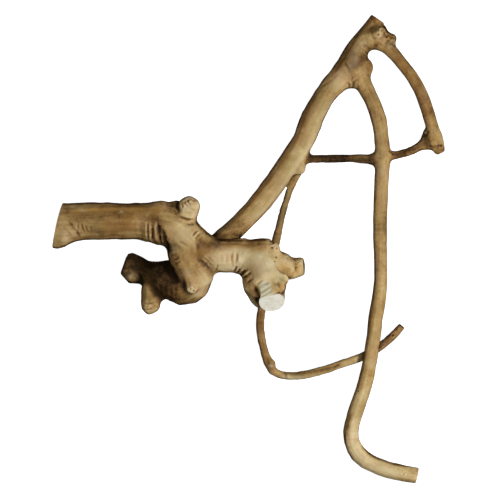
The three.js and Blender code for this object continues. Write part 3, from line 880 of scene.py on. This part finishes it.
# the lows between a burr's warts are darkened with dust and painted shade
BURR_DUST_AND_SHADE, DUST_AND_SHADE_LEVEL = 0.5, -0.1
BURRS = [
    (171, 281, 8, 1.7), (186, 270, 8, 1.3), (33, 3, 6, 1.1), (-76, 57, 9, 0.9), (234, 148, 6, 0.6),
    (-74, -53, 6, 1.1), (-153, -37, 7, 0.7), (-130, -78, 8, 0.5), (165, 300, 7, 1.2), (63, -23, 7, 0.6),
    (250, 134, 6, 0.8), (28, -150, 5, 0.6), (-240, 4, 6, 0.6), (38, -51, 7, 0.7),
]
for x, y, size, depth in BURRS:
    near, felt = dab(x, y, size)
    knobbly = noise(places[near], BURR_PITCH, seed=21)
    height[near] += depth * MM * felt * knobbly
    paint["dust"][near] += BURR_DUST_AND_SHADE * felt * np.clip(DUST_AND_SHADE_LEVEL - knobbly, 0, 1)
print("burrs:", len(BURRS))

# %% The lump beside the slice stands over its lower corner, and hides the saw marks there
LUMP_PLACE, LUMP_SIZE, LUMP_COVER = (36, -51.5), 6, 2

near, felt = dab(*LUMP_PLACE, LUMP_SIZE)
paint["sliced"][near] *= 1 - np.clip(LUMP_COVER * felt, 0, 1)
print("vertices on the slice:", int((paint["sliced"] > 0.5).sum()))

# %% [markdown]
# ## Washes of colour
# Old coffee wood is never one brown. Sun, sap and mould have left pale, golden, pinkish and olive
# places on it, and old bark dark ones. Much of the dark umber is painted shade, on the far edges of
# the limbs, in creases and valleys and on the limb behind the elbow. They are laid on like washes
# of thin paint, one dab or stroke at a time, and the shader decides later how each looks.

# %% Washes: for each paint, its dabs as place and size in mm, and strength
WASHES = {
    "cream": [
        (-165, 48, 2, 1), (-113, 46, 2, 0.8), (-79, 55, 9, 0.5), (-83, 21, 16, 0.45), (-96, -2, 7, 0.4),
        (-37, -14, 11, 0.6), (16, -24, 15, 0.6), (-38, -14, 14, 0.8), (27, -10, 10, 0.4),
        (31, -6, 4, 0.7), (-58, -43, 11, 0.7), (-67, -57, 6, 0.7), (-75, -52, 5, 1), (-81, -31, 6, 0.5),
        (-128, -77, 6, 0.5), (113, 214, 8, 0.3), (252, 141, 5, 0.4), (172, 102, 7, 0.3),
        (137, -239, 8, 0.3), (170, -285, 12, 0.3), (184, 266, 4, 0.5), (168, 281, 5, 0.3),
        (28, -153, 3, 0.8), (6, -73, 4, 0.7), (162, -151, 6, 0.3), (-229, 55, 3, 0.5), (-27, -18, 3, 0.5),
        (63, -18, 2.6, 0.5), (150, 232, 4, 0.3), (-226, 21, 6, 0.3),
    ],
    "bleach": [
        (142, -144, 7, 0.6), (-74, -53, 5, 0.6), (33, 3, 4, 0.7), (171, 281, 4, 0.3), (-67, -57, 6, 0.5),
    ],
    "amber": [
        (164, 298, 6, 0.8), (153, 240, 8, 0.6), (37, -51, 4, 0.8), (-63, 55, 4, 0.7), (-177, 29, 9, 0.5),
        (-122, 38, 6, 0.6), (-97, 22, 7, 0.3), (29, -149, 3, 0.7), (64, -20, 3, 0.6), (-60, -20, 8, 0.4),
        (-223, 46, 6, 0.5), (163, 303, 4, 0.7), (-56, -2, 8, 0.8), (4, -27, 9, 0.3), (150, 238, 7, 0.5),
    ],
    "gold": [
        (63, -19, 3, 0.9), (62, -31, 3, 0.8), (64, -23, 3.5, 0.6), (-71, 58, 5, 0.6), (40, -50, 4, 0.5),
        (-190, 53, 12, 0.4), (-154, -37, 5, 0.7), (-132, -40, 6, 0.35), (-129, -77, 5, 0.5),
        (164, 297, 4, 0.6), (245, 144, 4, 0.4), (-168, 24, 8, 0.3), (45, -23, 8, 0.35), (-97, -8, 6, 0.4),
        (-153, -38, 6, 0.8), (200, 240, 7, 0.4), (211, 224, 7, 0.3), (181, 272, 3, 0.6),
        (-116, 11, 4, 0.4), (6, -26, 8, 0.4),
    ],
    "rose": [
        (33, 3, 6, 0.6), (140, 242, 9, 0.3), (131, 229, 6, 0.3), (175, 272, 3.5, 0.7),
        (-177, 29, 8, 0.35), (6, -75, 4, 0.5), (-31, -12, 8, 0.2), (-60, -25, 6, 0.3),
        (159, -150, 7, 0.25), (172, 60, 9, 0.2), (224, 190, 7, 0.3), (53, -37, 4, 0.3),
    ],
    "khaki": [
        (-198, 32, 13, 0.4), (-73, 50, 5, 0.4), (70, -25, 3, 0.7), (-153, -36, 6, 0.3),
        (135, 213, 6, 0.6), (111, 213, 9, 0.7), (126, 224, 9, 0.7), (150, 271, 11, 0.6),
        (146, 261, 7, 0.5), (-106, 40, 12, 0.3), (-75, -62, 8, 0.4), (184, 265, 4, 0.6),
        (23, -54, 8, 0.5), (141, -215, 9, 0.4), (170, 20, 11, 0.25), (168, -80, 11, 0.3),
        (249, 142, 5, 0.4), (96, -158, 11, 0.3), (60, 131, 11, 0.3), (-132, -67, 7, 0.4),
        (-88, 29, 14, 0.25), (-233, 21, 8, 0.3), (53, -28, 8, 0.3), (40, 2, 3, 0.5),
    ],
    # umber dabs: old bark, and painted shade on the limb behind the elbow, in creases and at the bases of
    # knobs
    "umber": [
        (-106, -28, 13, 0.5), (-93, -40, 12, 0.5), (-112, -44, 12, 0.5), (-124, -34, 11, 0.5),
        (-162, -31, 5, 0.6), (-159, -18, 5, 0.5), (-142, -18, 8, 0.3), (-160, -36, 4, 0.5),
        (-93, -11, 5, 0.6), (6, -54, 6, 0.55), (10, -67, 5, 0.6), (1, -45, 7, 0.4), (39, -48, 6, 0.6),
        (-109, -46, 9, 0.35), (-99, -53, 8, 0.25), (-121, 38, 6, 0.8), (-166, -26, 8, 0.5),
        (-96, 63, 4, 0.5), (-109, 10, 5, 0.6), (-103, -2, 4, 0.4), (-236, 50, 8, 0.4), (58, -14, 3, 0.5),
        (232, 131, 5, 0.8), (228, 146, 5, 0.9), (252, 129, 4, 0.8), (244, 123, 5, 0.7),
        (166, 265, 4, 0.7), (157, 289, 7, 0.4), (192, 272, 3.5, 1), (176, 289, 3, 0.8),
        (155, 236, 6, 0.6), (148, 246, 6, 0.3), (157, 224, 5, 0.4), (139, -251, 3, 0.3),
        (-112, -66, 5, 0.5), (-140, -76, 4, 0.5), (-177, 29, 6, 0.25), (213, 224, 5, 0.1),
        (176, 278, 2.5, 0.6), (32, 6, 3, 0.5), (124, 229, 3, 0.4),
    ],
}

# %% Lay the washes on
for name, dabs in WASHES.items():
    for x, y, size, strength in dabs:
        tint(name, dab(x, y, size), strength)
print("washes:", {name: len(dabs) for name, dabs in WASHES.items()})

# %% Washes in bands, on the stout limbs: paint, strength and width, then points, in mm
BANDS = [
    # the dark upper edge of the trunk and the brown valley behind it, both painted shade in umber and amber
    ("umber", 0.85, 5, [(-52, 11), (-32, 10.5), (-12, 10.5), (8, 10.5), (26, 10.5)]),
    ("umber", 0.65, 5.5, [(-50, 5), (-32, 5.5), (-12, 5.5), (8, 5.5), (25, 5)]),
    ("umber", 0.9, 9, [(-70, 1), (-58, 3), (-47, 5), (-36, 7)]),
    ("umber", 0.45, 6, [(8, 4), (16, 2), (23, 1)]),
    ("amber", 0.8, 8, [(-78, -3), (-58, -3), (-44, 1)]),
    ("amber", 0.5, 6, [(-40, 3), (-12, 2), (20, 1)]),
    # painted shade in the broad crease where the stout arm meets the elbow
    ("umber", 1, 6, [(-118, 32), (-114, 21), (-110, 8), (-103, -6)]),
    # painted shade along the trunk's lower edge, and along the edges of the knot, the elbow and the top knob
    ("umber", 0.35, 3, [(-46, -29), (-25, -31), (-15, -36)]),
    ("umber", 0.7, 3, [(-71, 36), (-63, 27), (-54, 19), (-46, 14)]),
    ("umber", 0.4, 3, [(-101, -8), (-96, -18), (-89, -25)]),
    ("umber", 0.8, 3.5, [(-90, -23), (-86, -36), (-84, -47), (-82, -56)]),
    ("umber", 0.5, 1.8, [(-87, 56), (-81, 61), (-73.5, 62.5), (-66, 60.5), (-61, 55)]),
    # the lump and the callus ring near the foot
    ("umber", 0.9, 2.2, [(34, -57), (41, -58), (46, -52), (45, -44)]),
    ("cream", 0.4, 2, [(33, -45), (36, -40), (41, -40)]),
    ("umber", 0.3, 2.4, [(57, -14), (59, -23), (57, -33)]),
    ("gold", 0.9, 2.2, [(61, -15), (64, -24), (62, -33)]),
    ("cream", 0.5, 2, [(66, -16), (68, -24), (66, -32)]),
    # old bark, sun and sap on the arm; the bleach along its upper side is painted light, and the umber along
    # its lower side is partly painted shade
    ("umber", 0.25, 7, [(-205, 30), (-181, 29), (-149, 31)]),
    ("umber", 0.3, 4, [(-220, 14), (-188, 12), (-155, 14)]),
    ("cream", 0.4, 3, [(-226, 55), (-218, 51), (-210, 48)]),
    ("gold", 0.9, 6, [(-236, 51), (-214, 51), (-175, 51), (-130, 51), (-104, 50)]),
    ("gold", 0.4, 10, [(-194, 34), (-168, 29), (-142, 42)]),
    ("amber", 0.7, 5, [(-200, 54), (-180, 54), (-156, 54), (-130, 52), (-104, 52)]),
    ("amber", 0.5, 8, [(-190, 36), (-170, 30), (-146, 34)]),
    ("bleach", 0.3, 5, [(-239, 52), (-231, 54), (-194, 55), (-155, 55), (-123, 55), (-103, 53)]),
]
print("bands so far:", len(BANDS))

# %% Bands on the long branch and the thin limbs
HOOK_SIDE = [(19, -70), (14, -92), (15, -115), (21, -138)]
BANDS += [
    # the long branch: orange brown on its left, with painted shade on that far flank, olive on its right
    ("umber", 0.2, 4, [(-20, 38), (6.5, 65), (24.8, 88), (43, 114), (63, 146), (75, 176)]),
    ("amber", 0.6, 5, [(-24, 33), (4.5, 63), (22.8, 86), (41, 112), (63, 146), (75, 176), (90, 205)]),
    ("cream", 0.5, 5, [(-2, 31), (25, 57), (44, 81), (61, 107), (84, 141), (95, 171), (114, 206)]),
    ("khaki", 0.7, 8, [(-10, 27), (17, 57), (36, 81), (53, 107), (76, 141), (88, 171), (108, 206)]),
    ("amber", 0.7, 4, [(106, 226), (120, 243), (136, 268), (148, 286), (157, 300)]),
    ("umber", 0.35, 2, [(112, 232), (128, 256), (143, 281), (154, 299)]),
    ("khaki", 0.5, 5, [(124, 245), (141, 265), (154, 281)]),
    ("cream", 0.3, 6, [(154, 275), (141, 260), (134, 241), (120, 227), (106, 212)]),
    # the thin limbs: the umber along their upper and far edges is painted shade
    ("amber", 0.45, 5, [(184, 258), (198, 239), (213, 216), (226, 190), (232, 168)]),
    ("khaki", 0.4, 5, [(159, 193), (171, 141), (171, 63), (170, -15), (164, -106), (151, -171)]),
    ("umber", 0.9, 2.8, [
        (145, -255), (160, -269.5), (174, -276), (191, -281.5), (208, -283.5), (219, -284.5),
    ]),
    ("umber", 0.6, 2.4, [(133, -212), (128, -232), (124.5, -248), (127, -263), (137, -277)]),
    ("cream", 0.5, 5, [(130, -246), (140, -266), (160, -281), (200, -293)]),
    ("bleach", 0.3, 7, [(133, -240), (140, -264), (160, -280), (215, -295)]),
    ("rose", 0.5, 4, [(145, -270), (151, -275)]),
    ("umber", 0.3, 3, [(66, 119), (105, 120), (150, 119)]),
    ("umber", 0.8, 2.4, [(40, -163), (66, -163), (105, -156), (122, -149)]),
    ("cream", 0.6, 3, [(37, -166), (66, -169), (105, -162), (137, -148)]),
    ("khaki", 0.5, 5, [(37, -164), (66, -166), (105, -159), (137, -145)]),
    ("amber", 0.35, 5, HOOK_SIDE),
    ("umber", 0.3, 5, HOOK_SIDE),
    ("khaki", 0.6, 4, [(53, 79), (45, 53), (38, 25)]),
    ("umber", 0.4, 2, [(50, 79), (42, 53), (35, 25)]),
    ("umber", 0.6, 3, [(166, -131), (175, -122), (184, -112)]),
]

# %% Lay the bands on
for name, strength, width, points in BANDS:
    tint(name, stroke(points, width, BAND_TIP), strength)
print("bands:", len(BANDS))

# %% [markdown]
# ## Painted shade on the far flanks and the steep sides
# The flanks that face away from the key lamp, up and to the left, are painted darker as painted
# shade, and so are the steep sides and the undersides, which gives every edge a dark outline. The
# way the skin faces tells which they are.

# %% More umber, as painted shade, on two kinds of side
# the way that the flanks turned from the key lamp face; they get painted shade
AWAY_FROM_KEY_LAMP = np.array((-0.85, 0.4, 0))
FAR_FLANK_SHADE, STEEP_SIDE_SHADE = 0.7, 1.1
# painted shade on the steep sides and the underside begins where the skin's upward part falls below this
STEEP = 0.5

paint["umber"] += FAR_FLANK_SHADE * np.clip(normals @ AWAY_FROM_KEY_LAMP, 0, 1) ** 2
paint["umber"] += STEEP_SIDE_SHADE * np.clip(1 - normals[:, 2] / STEEP, 0, 1)
# the share printed below counts old bark and painted shade together
print("share under old bark:", round(float((paint["umber"] > 0.5).mean()), 2))

# %% [markdown]
# ## The heights take effect
# Now every vertex moves along its normal by its height. A sawn face is flat up to its rim, so the
# heights fade out there. A knob may not stand out of the frame's box, so the skin is held in it.

# %% Push the skin out by its heights
RIM_PASSES, RIM_FADE = 2, 4

net_fine = Net(skin.data)
rim = net_fine.soften(cut_faces, RIM_PASSES)
height *= 1 - np.clip(rim * RIM_FADE, 0, 1)
push(skin.data, height)
low, high = np.array(cad_box)
move_to(skin.data, np.clip(read(skin.data.vertices, "co"), low, high))
print("pushed in mm:", round(float(height.min() / MM), 1), "to", round(float(height.max() / MM), 1))

# %% [markdown]
# ## Hollows and ridges
# Dust and old bark stay in the hollows, and the shader darkens them further as painted shade;
# the ridges are rubbed pale. How hollow a place is can be measured: compare it with a softened
# copy of the skin. What lies below the copy is a hollow.

# %% Measure the hollows
HOLLOW_DEPTH = 0.6 * MM
HOLLOW_PASSES = 14

sculpted = read(skin.data.vertices, "co")
normals = read(skin.data.vertices, "normal")
softened = net_fine.soften(sculpted, HOLLOW_PASSES)
hollow = np.clip(((softened - sculpted) * normals).sum(1) / HOLLOW_DEPTH, -1, 1)
keep(skin.data, "hollow", hollow)
# the paints are softened a little, but a fresh cut ends crisply
for name, values in paint.items():
    keep(skin.data, name, values if name == "sawn" else net_fine.soften(values, 1))
print("hollow from", round(float(hollow.min()), 2), "to", round(float(hollow.max()), 2))

# %% [markdown]
# ## Parting the skin at the forks
# The skin is one surface, and each limb becomes a piece of its own. A copy of the skin is made for
# each limb, everything that is not that limb is deleted, and the cuts across the forks are closed
# with hidden faces, so every piece is a closed body that meets its neighbours without a gap.

# %% One closed piece for each limb
def piece_of(number, node):
    """The part of the skin that belongs to one limb, as an object of its own"""
    part = bmesh.new()
    part.from_mesh(skin.data)
    layer = part.faces.layers.int["owner"]
    others = [face for face in part.faces if face[layer] != number]
    bmesh.ops.delete(part, geom=others, context="FACES")
    open_edges = [edge for edge in part.edges if edge.is_boundary]
    for edge in open_edges:
        edge.smooth = False
    lids = bmesh.ops.holes_fill(part, edges=open_edges, sides=0)["faces"]
    bmesh.ops.triangulate(part, faces=lids)
    mesh = bpy.data.meshes.new(node + "_wood")
    part.to_mesh(mesh)
    closed = all(edge.is_manifold for edge in part.edges)
    part.free()
    piece = bpy.data.objects.new(node + "_wood", mesh)
    bpy.context.scene.collection.objects.link(piece)
    print(node, "squares:", len(mesh.polygons), "lids:", len(lids), "closed:", closed)
    return piece

pieces = {node: piece_of(number, node) for number, node in enumerate(NODES)}
bpy.data.objects.remove(skin)

# %% Each piece stands for its limb
for node, piece in pieces.items():
    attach(piece, "root")
    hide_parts(node)
print("pieces:", sorted(piece.name for piece in pieces.values()))

# %% [markdown]
# ## Writing shader maths
# A wood finish is a sum of many small patterns. Wiring it by hand takes pages, so one small class
# wraps an output of a node: a sum, a difference or a product of wrapped outputs adds the Math
# node that works it out. Every other node is made by one method.

# %% Colours
def srgb(red, green, blue):
    """A colour as a screen shows it, 0 to 255, in the linear light that shaders use"""
    return tuple(((value / 255 + 0.055) / 1.055) ** 2.4 for value in (red, green, blue))

def opaque(colour):
    """The colour with the fourth number that sockets ask for"""
    return (*colour, 1)

# %% A wire from one node to the next
class Wire:
    """An output of a node. Sums, differences and products of wires are new Math nodes."""
    def __init__(self, tree, socket=None):
        self.tree, self.socket = tree, socket

    def node(self, kind, settings=None, sockets=None, output=0):
        """Adds a node: settings first, then values or wires for its sockets"""
        made = self.tree.nodes.new("ShaderNode" + kind)
        for name, value in (settings or {}).items():
            if name == "stops":
                elements = made.color_ramp.elements
                for index, (place, colour) in enumerate(value):
                    stop = elements[index] if index < len(elements) else elements.new(place)
                    stop.position, stop.color = place, opaque(colour)
            else:
                setattr(made, name, value)
        for name, value in (sockets or {}).items():
            if isinstance(value, Wire):
                self.tree.links.new(value.socket, made.inputs[name])
            else:
                made.inputs[name].default_value = value
        return Wire(self.tree, None if output is None else made.outputs[output])

    def math(self, operation, *values):
        """A Math node that works something out from numbers and wires"""
        return self.node("Math", {"operation": operation}, dict(enumerate(values)))

    def __add__(self, other):
        return self.math("ADD", self, other)

    def __radd__(self, other):
        return self.math("ADD", other, self)

    def __sub__(self, other):
        return self.math("SUBTRACT", self, other)

    def __rsub__(self, other):
        return self.math("SUBTRACT", other, self)

    def __mul__(self, other):
        return self.math("MULTIPLY", self, other)

    def __rmul__(self, other):
        return self.math("MULTIPLY", other, self)

    def clamped(self):
        """No less than 0 and no more than 1"""
        return self.node("Clamp", {}, {"Value": self})

    def ramp(self, low, high):
        """0 where this is low, 1 where it is high, and even between"""
        return self.node("MapRange", {}, {"Value": self, "From Min": low, "From Max": high})

    def mix(self, colour, other):
        """The first colour where this is 0, the other where it is 1"""
        return self.node("Mix", {"data_type": "RGBA"}, {0: self, 6: colour, 7: other}, output=2)

# %% [markdown]
# ## Weathered coffee wood
# The bark is blasted off and the wood has aged to tan and khaki, with browner bands, pinkish
# patches and dark dust in every fold, and painted shade darkens the folds, hollows, far flanks and
# edges too. One number, the age, runs from rubbed pale wood to black dust and deep painted shade,
# and a colour ramp turns it into browns. The washes go over the ramp, and last come the sawn faces.
# One noise texture could give the browns, but it would not know where the folds and the ridges
# are. The numbers that the sculpting stored in the skin do.

# %% The colours of the wood, from rubbed ridges to dust and painted shade in the folds
AGEING = [
    (0.0, srgb(228, 211, 170)),
    (0.25, srgb(207, 183, 133)),
    (0.5, srgb(175, 141, 88)),
    (0.7, srgb(137, 103, 59)),
    (0.86, srgb(88, 62, 34)),
    (1.0, srgb(48, 34, 18)),
]
# each wash: its colour and how far it covers
WASH_COLOURS = {
    "khaki": (srgb(166, 150, 98), 0.7),
    "rose": (srgb(192, 150, 120), 0.7),
    "gold": (srgb(206, 156, 78), 0.75),
    "amber": (srgb(146, 98, 48), 0.8),
    "cream": (srgb(224, 208, 168), 0.7),
}
print("browns:", len(AGEING), "washes:", len(WASH_COLOURS))

# %% Stored numbers and soft patterns
def stored(start, name, output="Fac"):
    """A number or a vector that the sculpting kept in the skin"""
    return start.node("Attribute", {"attribute_name": name}, output=output)

def pattern(start, vector, scale, detail=3, roughness=0.5, squeeze=(1, 1, 1), shift=(0, 0, 0)):
    """Noise about 0.5. A squeeze below 1 draws it out, and a shift gives another stretch of it."""
    placed = start.node("Mapping", {}, {"Vector": vector, "Scale": squeeze, "Location": shift})
    sockets = {"Vector": placed, "Scale": scale, "Detail": detail, "Roughness": roughness}
    return start.node("TexNoise", {}, sockets)

def patterns_of(start):
    """What all the layers of a finish share"""
    place, grain = start.node("TexCoord", output="Object"), stored(start, "grain", "Vector")
    hollow = stored(start, "hollow")
    return {
        "place": place,
        # broad patches, spots and specks have no direction
        "patches": pattern(start, place, scale=19, detail=2),
        "spots": pattern(start, place, scale=75, shift=(3, 1, 2)),
        "specks": pattern(start, place, scale=330, detail=2, shift=(5, 2, 6)),
        # streaks and fibres are drawn out along the grain
        "streaks": pattern(start, grain, scale=170, roughness=0.6, squeeze=(1, 1, 0.09)),
        "fibres": pattern(start, grain, scale=700, roughness=0.6, squeeze=(1, 1, 0.05)),
        "hollow": hollow.clamped(),
        "ridge": (0 - hollow).clamped(),
        "sawn": stored(start, "sawn").ramp(low=0.6, high=0.95),
    }

def swings(shared, start_value, shares):
    """A value, with each pattern's swing about 0.5 added in its share"""
    return sum((share * (shared[name] - 0.5) for name, share in shares.items()), start_value)

# %% How old each bit of the wood looks
BLOTCHES = {"patches": 0.6, "spots": 0.55, "specks": 0.25}
STREAKS = {"streaks": 0.5, "fibres": 0.25}
# old bark and painted shade are this old, and blotched themselves
OLD_BARK_AND_SHADE, OLD_BARK_AND_SHADE_BLOTCHES = 0.88, {"spots": 0.12, "specks": 0.3}
# what the hollows and ridges of the skin add: the hollows darken with dust and painted shade, and
# the rubbed ridges grow paler
HOLLOW_DUST_AND_SHADE, RIDGE_AGE = 0.3, -0.2
# what the paints and the valleys add
STORED_AGE = {"valley": 0.15, "dust": 0.55, "bleach": -0.4}

def age_of(start, shared):
    """0 for rubbed pale wood, 1 for black dust and the deepest painted shade"""
    age = swings(shared, stored(start, "tone"), BLOTCHES)
    age = age + stored(start, "hold") * swings(shared, 0, STREAKS)
    # old bark and painted shade hide what is under them, but not the dust in the folds
    old_bark_and_shade = swings(shared, OLD_BARK_AND_SHADE, OLD_BARK_AND_SHADE_BLOTCHES)
    age = age + stored(start, "umber").clamped() * (old_bark_and_shade - age)
    age = age + HOLLOW_DUST_AND_SHADE * shared["hollow"] + RIDGE_AGE * shared["ridge"]
    for name, share in STORED_AGE.items():
        age = age + share * stored(start, name)
    return age.clamped()

# %% The washes over it, and some olive and pinkish drifts on the paler wood
# where a wash does not take: on dust, in hollows and on old bark and painted shade
KEPT_OFF = {"dust": 1.2, "umber": 0.45}
HOLLOW_KEPT_OFF = 0.4
# each drift: its scale, its shift and how strong it is
DRIFTS = {"rose": (38, (7, 5, 1), 0.5), "khaki": (30, (1, 8, 4), 0.6)}

def washed(start, shared, age, colour):
    """The colour under all the washes, each laid on where the sculpting put it"""
    covered = HOLLOW_KEPT_OFF * shared["hollow"]
    for name, share in KEPT_OFF.items():
        covered = covered + share * stored(start, name)
    bare = 1 - covered.clamped()
    for wash, (wash_colour, strength) in WASH_COLOURS.items():
        amount = stored(start, wash) * strength * shared["spots"].ramp(low=0.2, high=0.6)
        if wash in DRIFTS:
            scale, shift, drift_strength = DRIFTS[wash]
            drift = pattern(start, shared["place"], scale, detail=2, shift=shift).ramp(low=0.5, high=0.72)
            amount = amount + drift * drift_strength * (1 - age)
        colour = (amount.clamped() * bare).mix(colour, opaque(wash_colour))
    return colour

# %% The sawn faces
SAWN_WHITE, SAWN_GREY = srgb(237, 233, 219), srgb(217, 211, 192)
SLICED_PALE, SLICED_DARK = srgb(220, 211, 180), srgb(146, 138, 106)
SAW_STROKE, SAW_PITCH = (-0.5, 0.85, 0), 5.8 * MM
# how strong a saw's marks are on the slice, and how far the spots bend them
SAW_MARKS, SAW_WANDER = 0.26, 9

def sawn_over(start, shared, colour):
    """Fresh white wood at the foot, and a greenish older slice with the marks of a coarse saw"""
    blotches = pattern(start, shared["place"], scale=150, squeeze=(1, 2, 1)).ramp(low=0.4, high=0.75)
    colour = shared["sawn"].mix(colour, blotches.mix(opaque(SAWN_WHITE), opaque(SAWN_GREY)))
    vectors = {0: shared["place"], 1: SAW_STROKE}
    along_saw = start.node("VectorMath", {"operation": "DOT_PRODUCT"}, vectors, "Value")
    marks = start.math("SINE", along_saw * (math.tau / SAW_PITCH) + SAW_WANDER * shared["spots"])
    stained = (SAW_MARKS * marks + shared["spots"]).ramp(low=0.2, high=1.0)
    older = stained.mix(opaque(SLICED_PALE), opaque(SLICED_DARK))
    return stored(start, "sliced").ramp(low=0.4, high=0.9).mix(colour, older)

# %% The whole finish
# the fine relief of the fibres is too small for the mesh, so a bump gives it
RELIEF = {"streaks": 0.4, "fibres": 0.3}
GRIT, RELIEF_DEPTH = 0.4, 0.6 * MM
WORN = {"patches": 0.3, "streaks": 0.25}
ROUGHER = {"hollow": 0.2, "sawn": 0.2}
# blasted wood hardly shines
SHINE = 0.06

def perch_wood(name, roughness, relief_strength):
    """The wood's material: twigs are rougher and have more relief than limbs"""
    material = bpy.data.materials.new(name)
    material.use_nodes = True
    material.node_tree.nodes.clear()
    start = Wire(material.node_tree)
    shared = patterns_of(start)
    age = age_of(start, shared)
    colour = start.node("ValToRGB", {"stops": AGEING}, {"Fac": age}, output=0)
    colour = sawn_over(start, shared, washed(start, shared, age, colour))
    worn = swings(shared, roughness, WORN)
    for layer, share in ROUGHER.items():
        worn = worn + share * shared[layer]
    relief = GRIT * pattern(start, shared["place"], scale=420)
    for layer, share in RELIEF.items():
        relief = relief + share * shared[layer]
    sockets = {"Strength": relief_strength, "Distance": RELIEF_DEPTH, "Height": relief}
    bump = start.node("Bump", {}, sockets)
    surface = start.node("BsdfPrincipled", {}, {
        "Base Color": colour, "Roughness": worn.clamped(), "Normal": bump, "Specular IOR Level": SHINE,
    })
    start.node("OutputMaterial", {}, {"Surface": surface}, output=None)
    print(name, "has", len(material.node_tree.nodes), "nodes")
    return material

# %% Every piece gets its finish
finishes = {
    "wood": perch_wood("perch_wood", roughness=0.58, relief_strength=0.5),
    "twig_wood": perch_wood("perch_twig_wood", roughness=0.68, relief_strength=0.8),
}
for node, piece in pieces.items():
    piece.data.materials.clear()
    piece.data.materials.append(finishes["twig_wood" if node in TWIG_NODES else "wood"])
print("finishes:", sorted(material.name for material in finishes.values()))

# %% [markdown]
# ## Floor and light
# The photograph shows the branch on plain white, lit by a soft lamp from the lower right, with
# dark edges on the far side. The floor glows as white as paper, so no shadow greys it, and it is
# kept out of the bounced light, which would brighten the undersides. A weak lamp low on the far
# side lets the brown of the dark flanks be seen when the branch is looked at from there.

# %% Floor
FLOOR_SIZE = 12
FLOOR_GREY, FLOOR_GLOW, FLOOR_ROUGHNESS = 0.5, 1.0, 0.9
WHITE = (1, 1, 1)

floor_mesh = bpy.data.meshes.new("floor")
ground = bmesh.new()
bmesh.ops.create_grid(ground, x_segments=1, y_segments=1, size=FLOOR_SIZE / 2)
ground.to_mesh(floor_mesh)
ground.free()
floor = bpy.data.objects.new("floor", floor_mesh)
bpy.context.scene.collection.objects.link(floor)
white = bpy.data.materials.new("floor_white")
white.use_nodes = True
shader = white.node_tree.nodes["Principled BSDF"]
shader.inputs["Base Color"].default_value = opaque([FLOOR_GREY] * 3)
shader.inputs["Roughness"].default_value = FLOOR_ROUGHNESS
shader.inputs["Emission Color"].default_value = opaque(WHITE)
shader.inputs["Emission Strength"].default_value = FLOOR_GLOW
floor_mesh.materials.append(white)
floor.visible_diffuse = False
floor.visible_glossy = False
print("floor in metres:", FLOOR_SIZE)

# %% Lamps: place, aim, size in metres and power in watts
LAMPS = {
    "key": ((0.85, -0.22, 1.25), (0, 0, 0.04), 0.35, 18.6),
    "front": ((0.1, -0.1, 2.4), (0, 0, 0.04), 0.6, 8),
    "fill": ((-1.1, 0.45, 0.16), (0, 0, 0.05), 0.8, 3.2),
}
for name, (place, aim, size, power) in LAMPS.items():
    light = bpy.data.lights.new(name, "AREA")
    light.size = size
    light.energy = power
    lamp = bpy.data.objects.new(name, light)
    lamp.location = place
    lamp.rotation_euler = (Vector(aim) - Vector(place)).to_track_quat("-Z", "Y").to_euler()
    lamp.visible_camera = False
    bpy.context.scene.collection.objects.link(lamp)
print("lamps:", sorted(LAMPS))

# %% A faint even light from all round, and colours that are shown as they are
ROOM_LIGHT = 0.06

world = bpy.data.worlds.new("room")
world.use_nodes = True
background = world.node_tree.nodes["Background"]
background.inputs["Color"].default_value = opaque(WHITE)
background.inputs["Strength"].default_value = ROOM_LIGHT
bpy.context.scene.world = world
bpy.context.scene.view_settings.view_transform = "Standard"
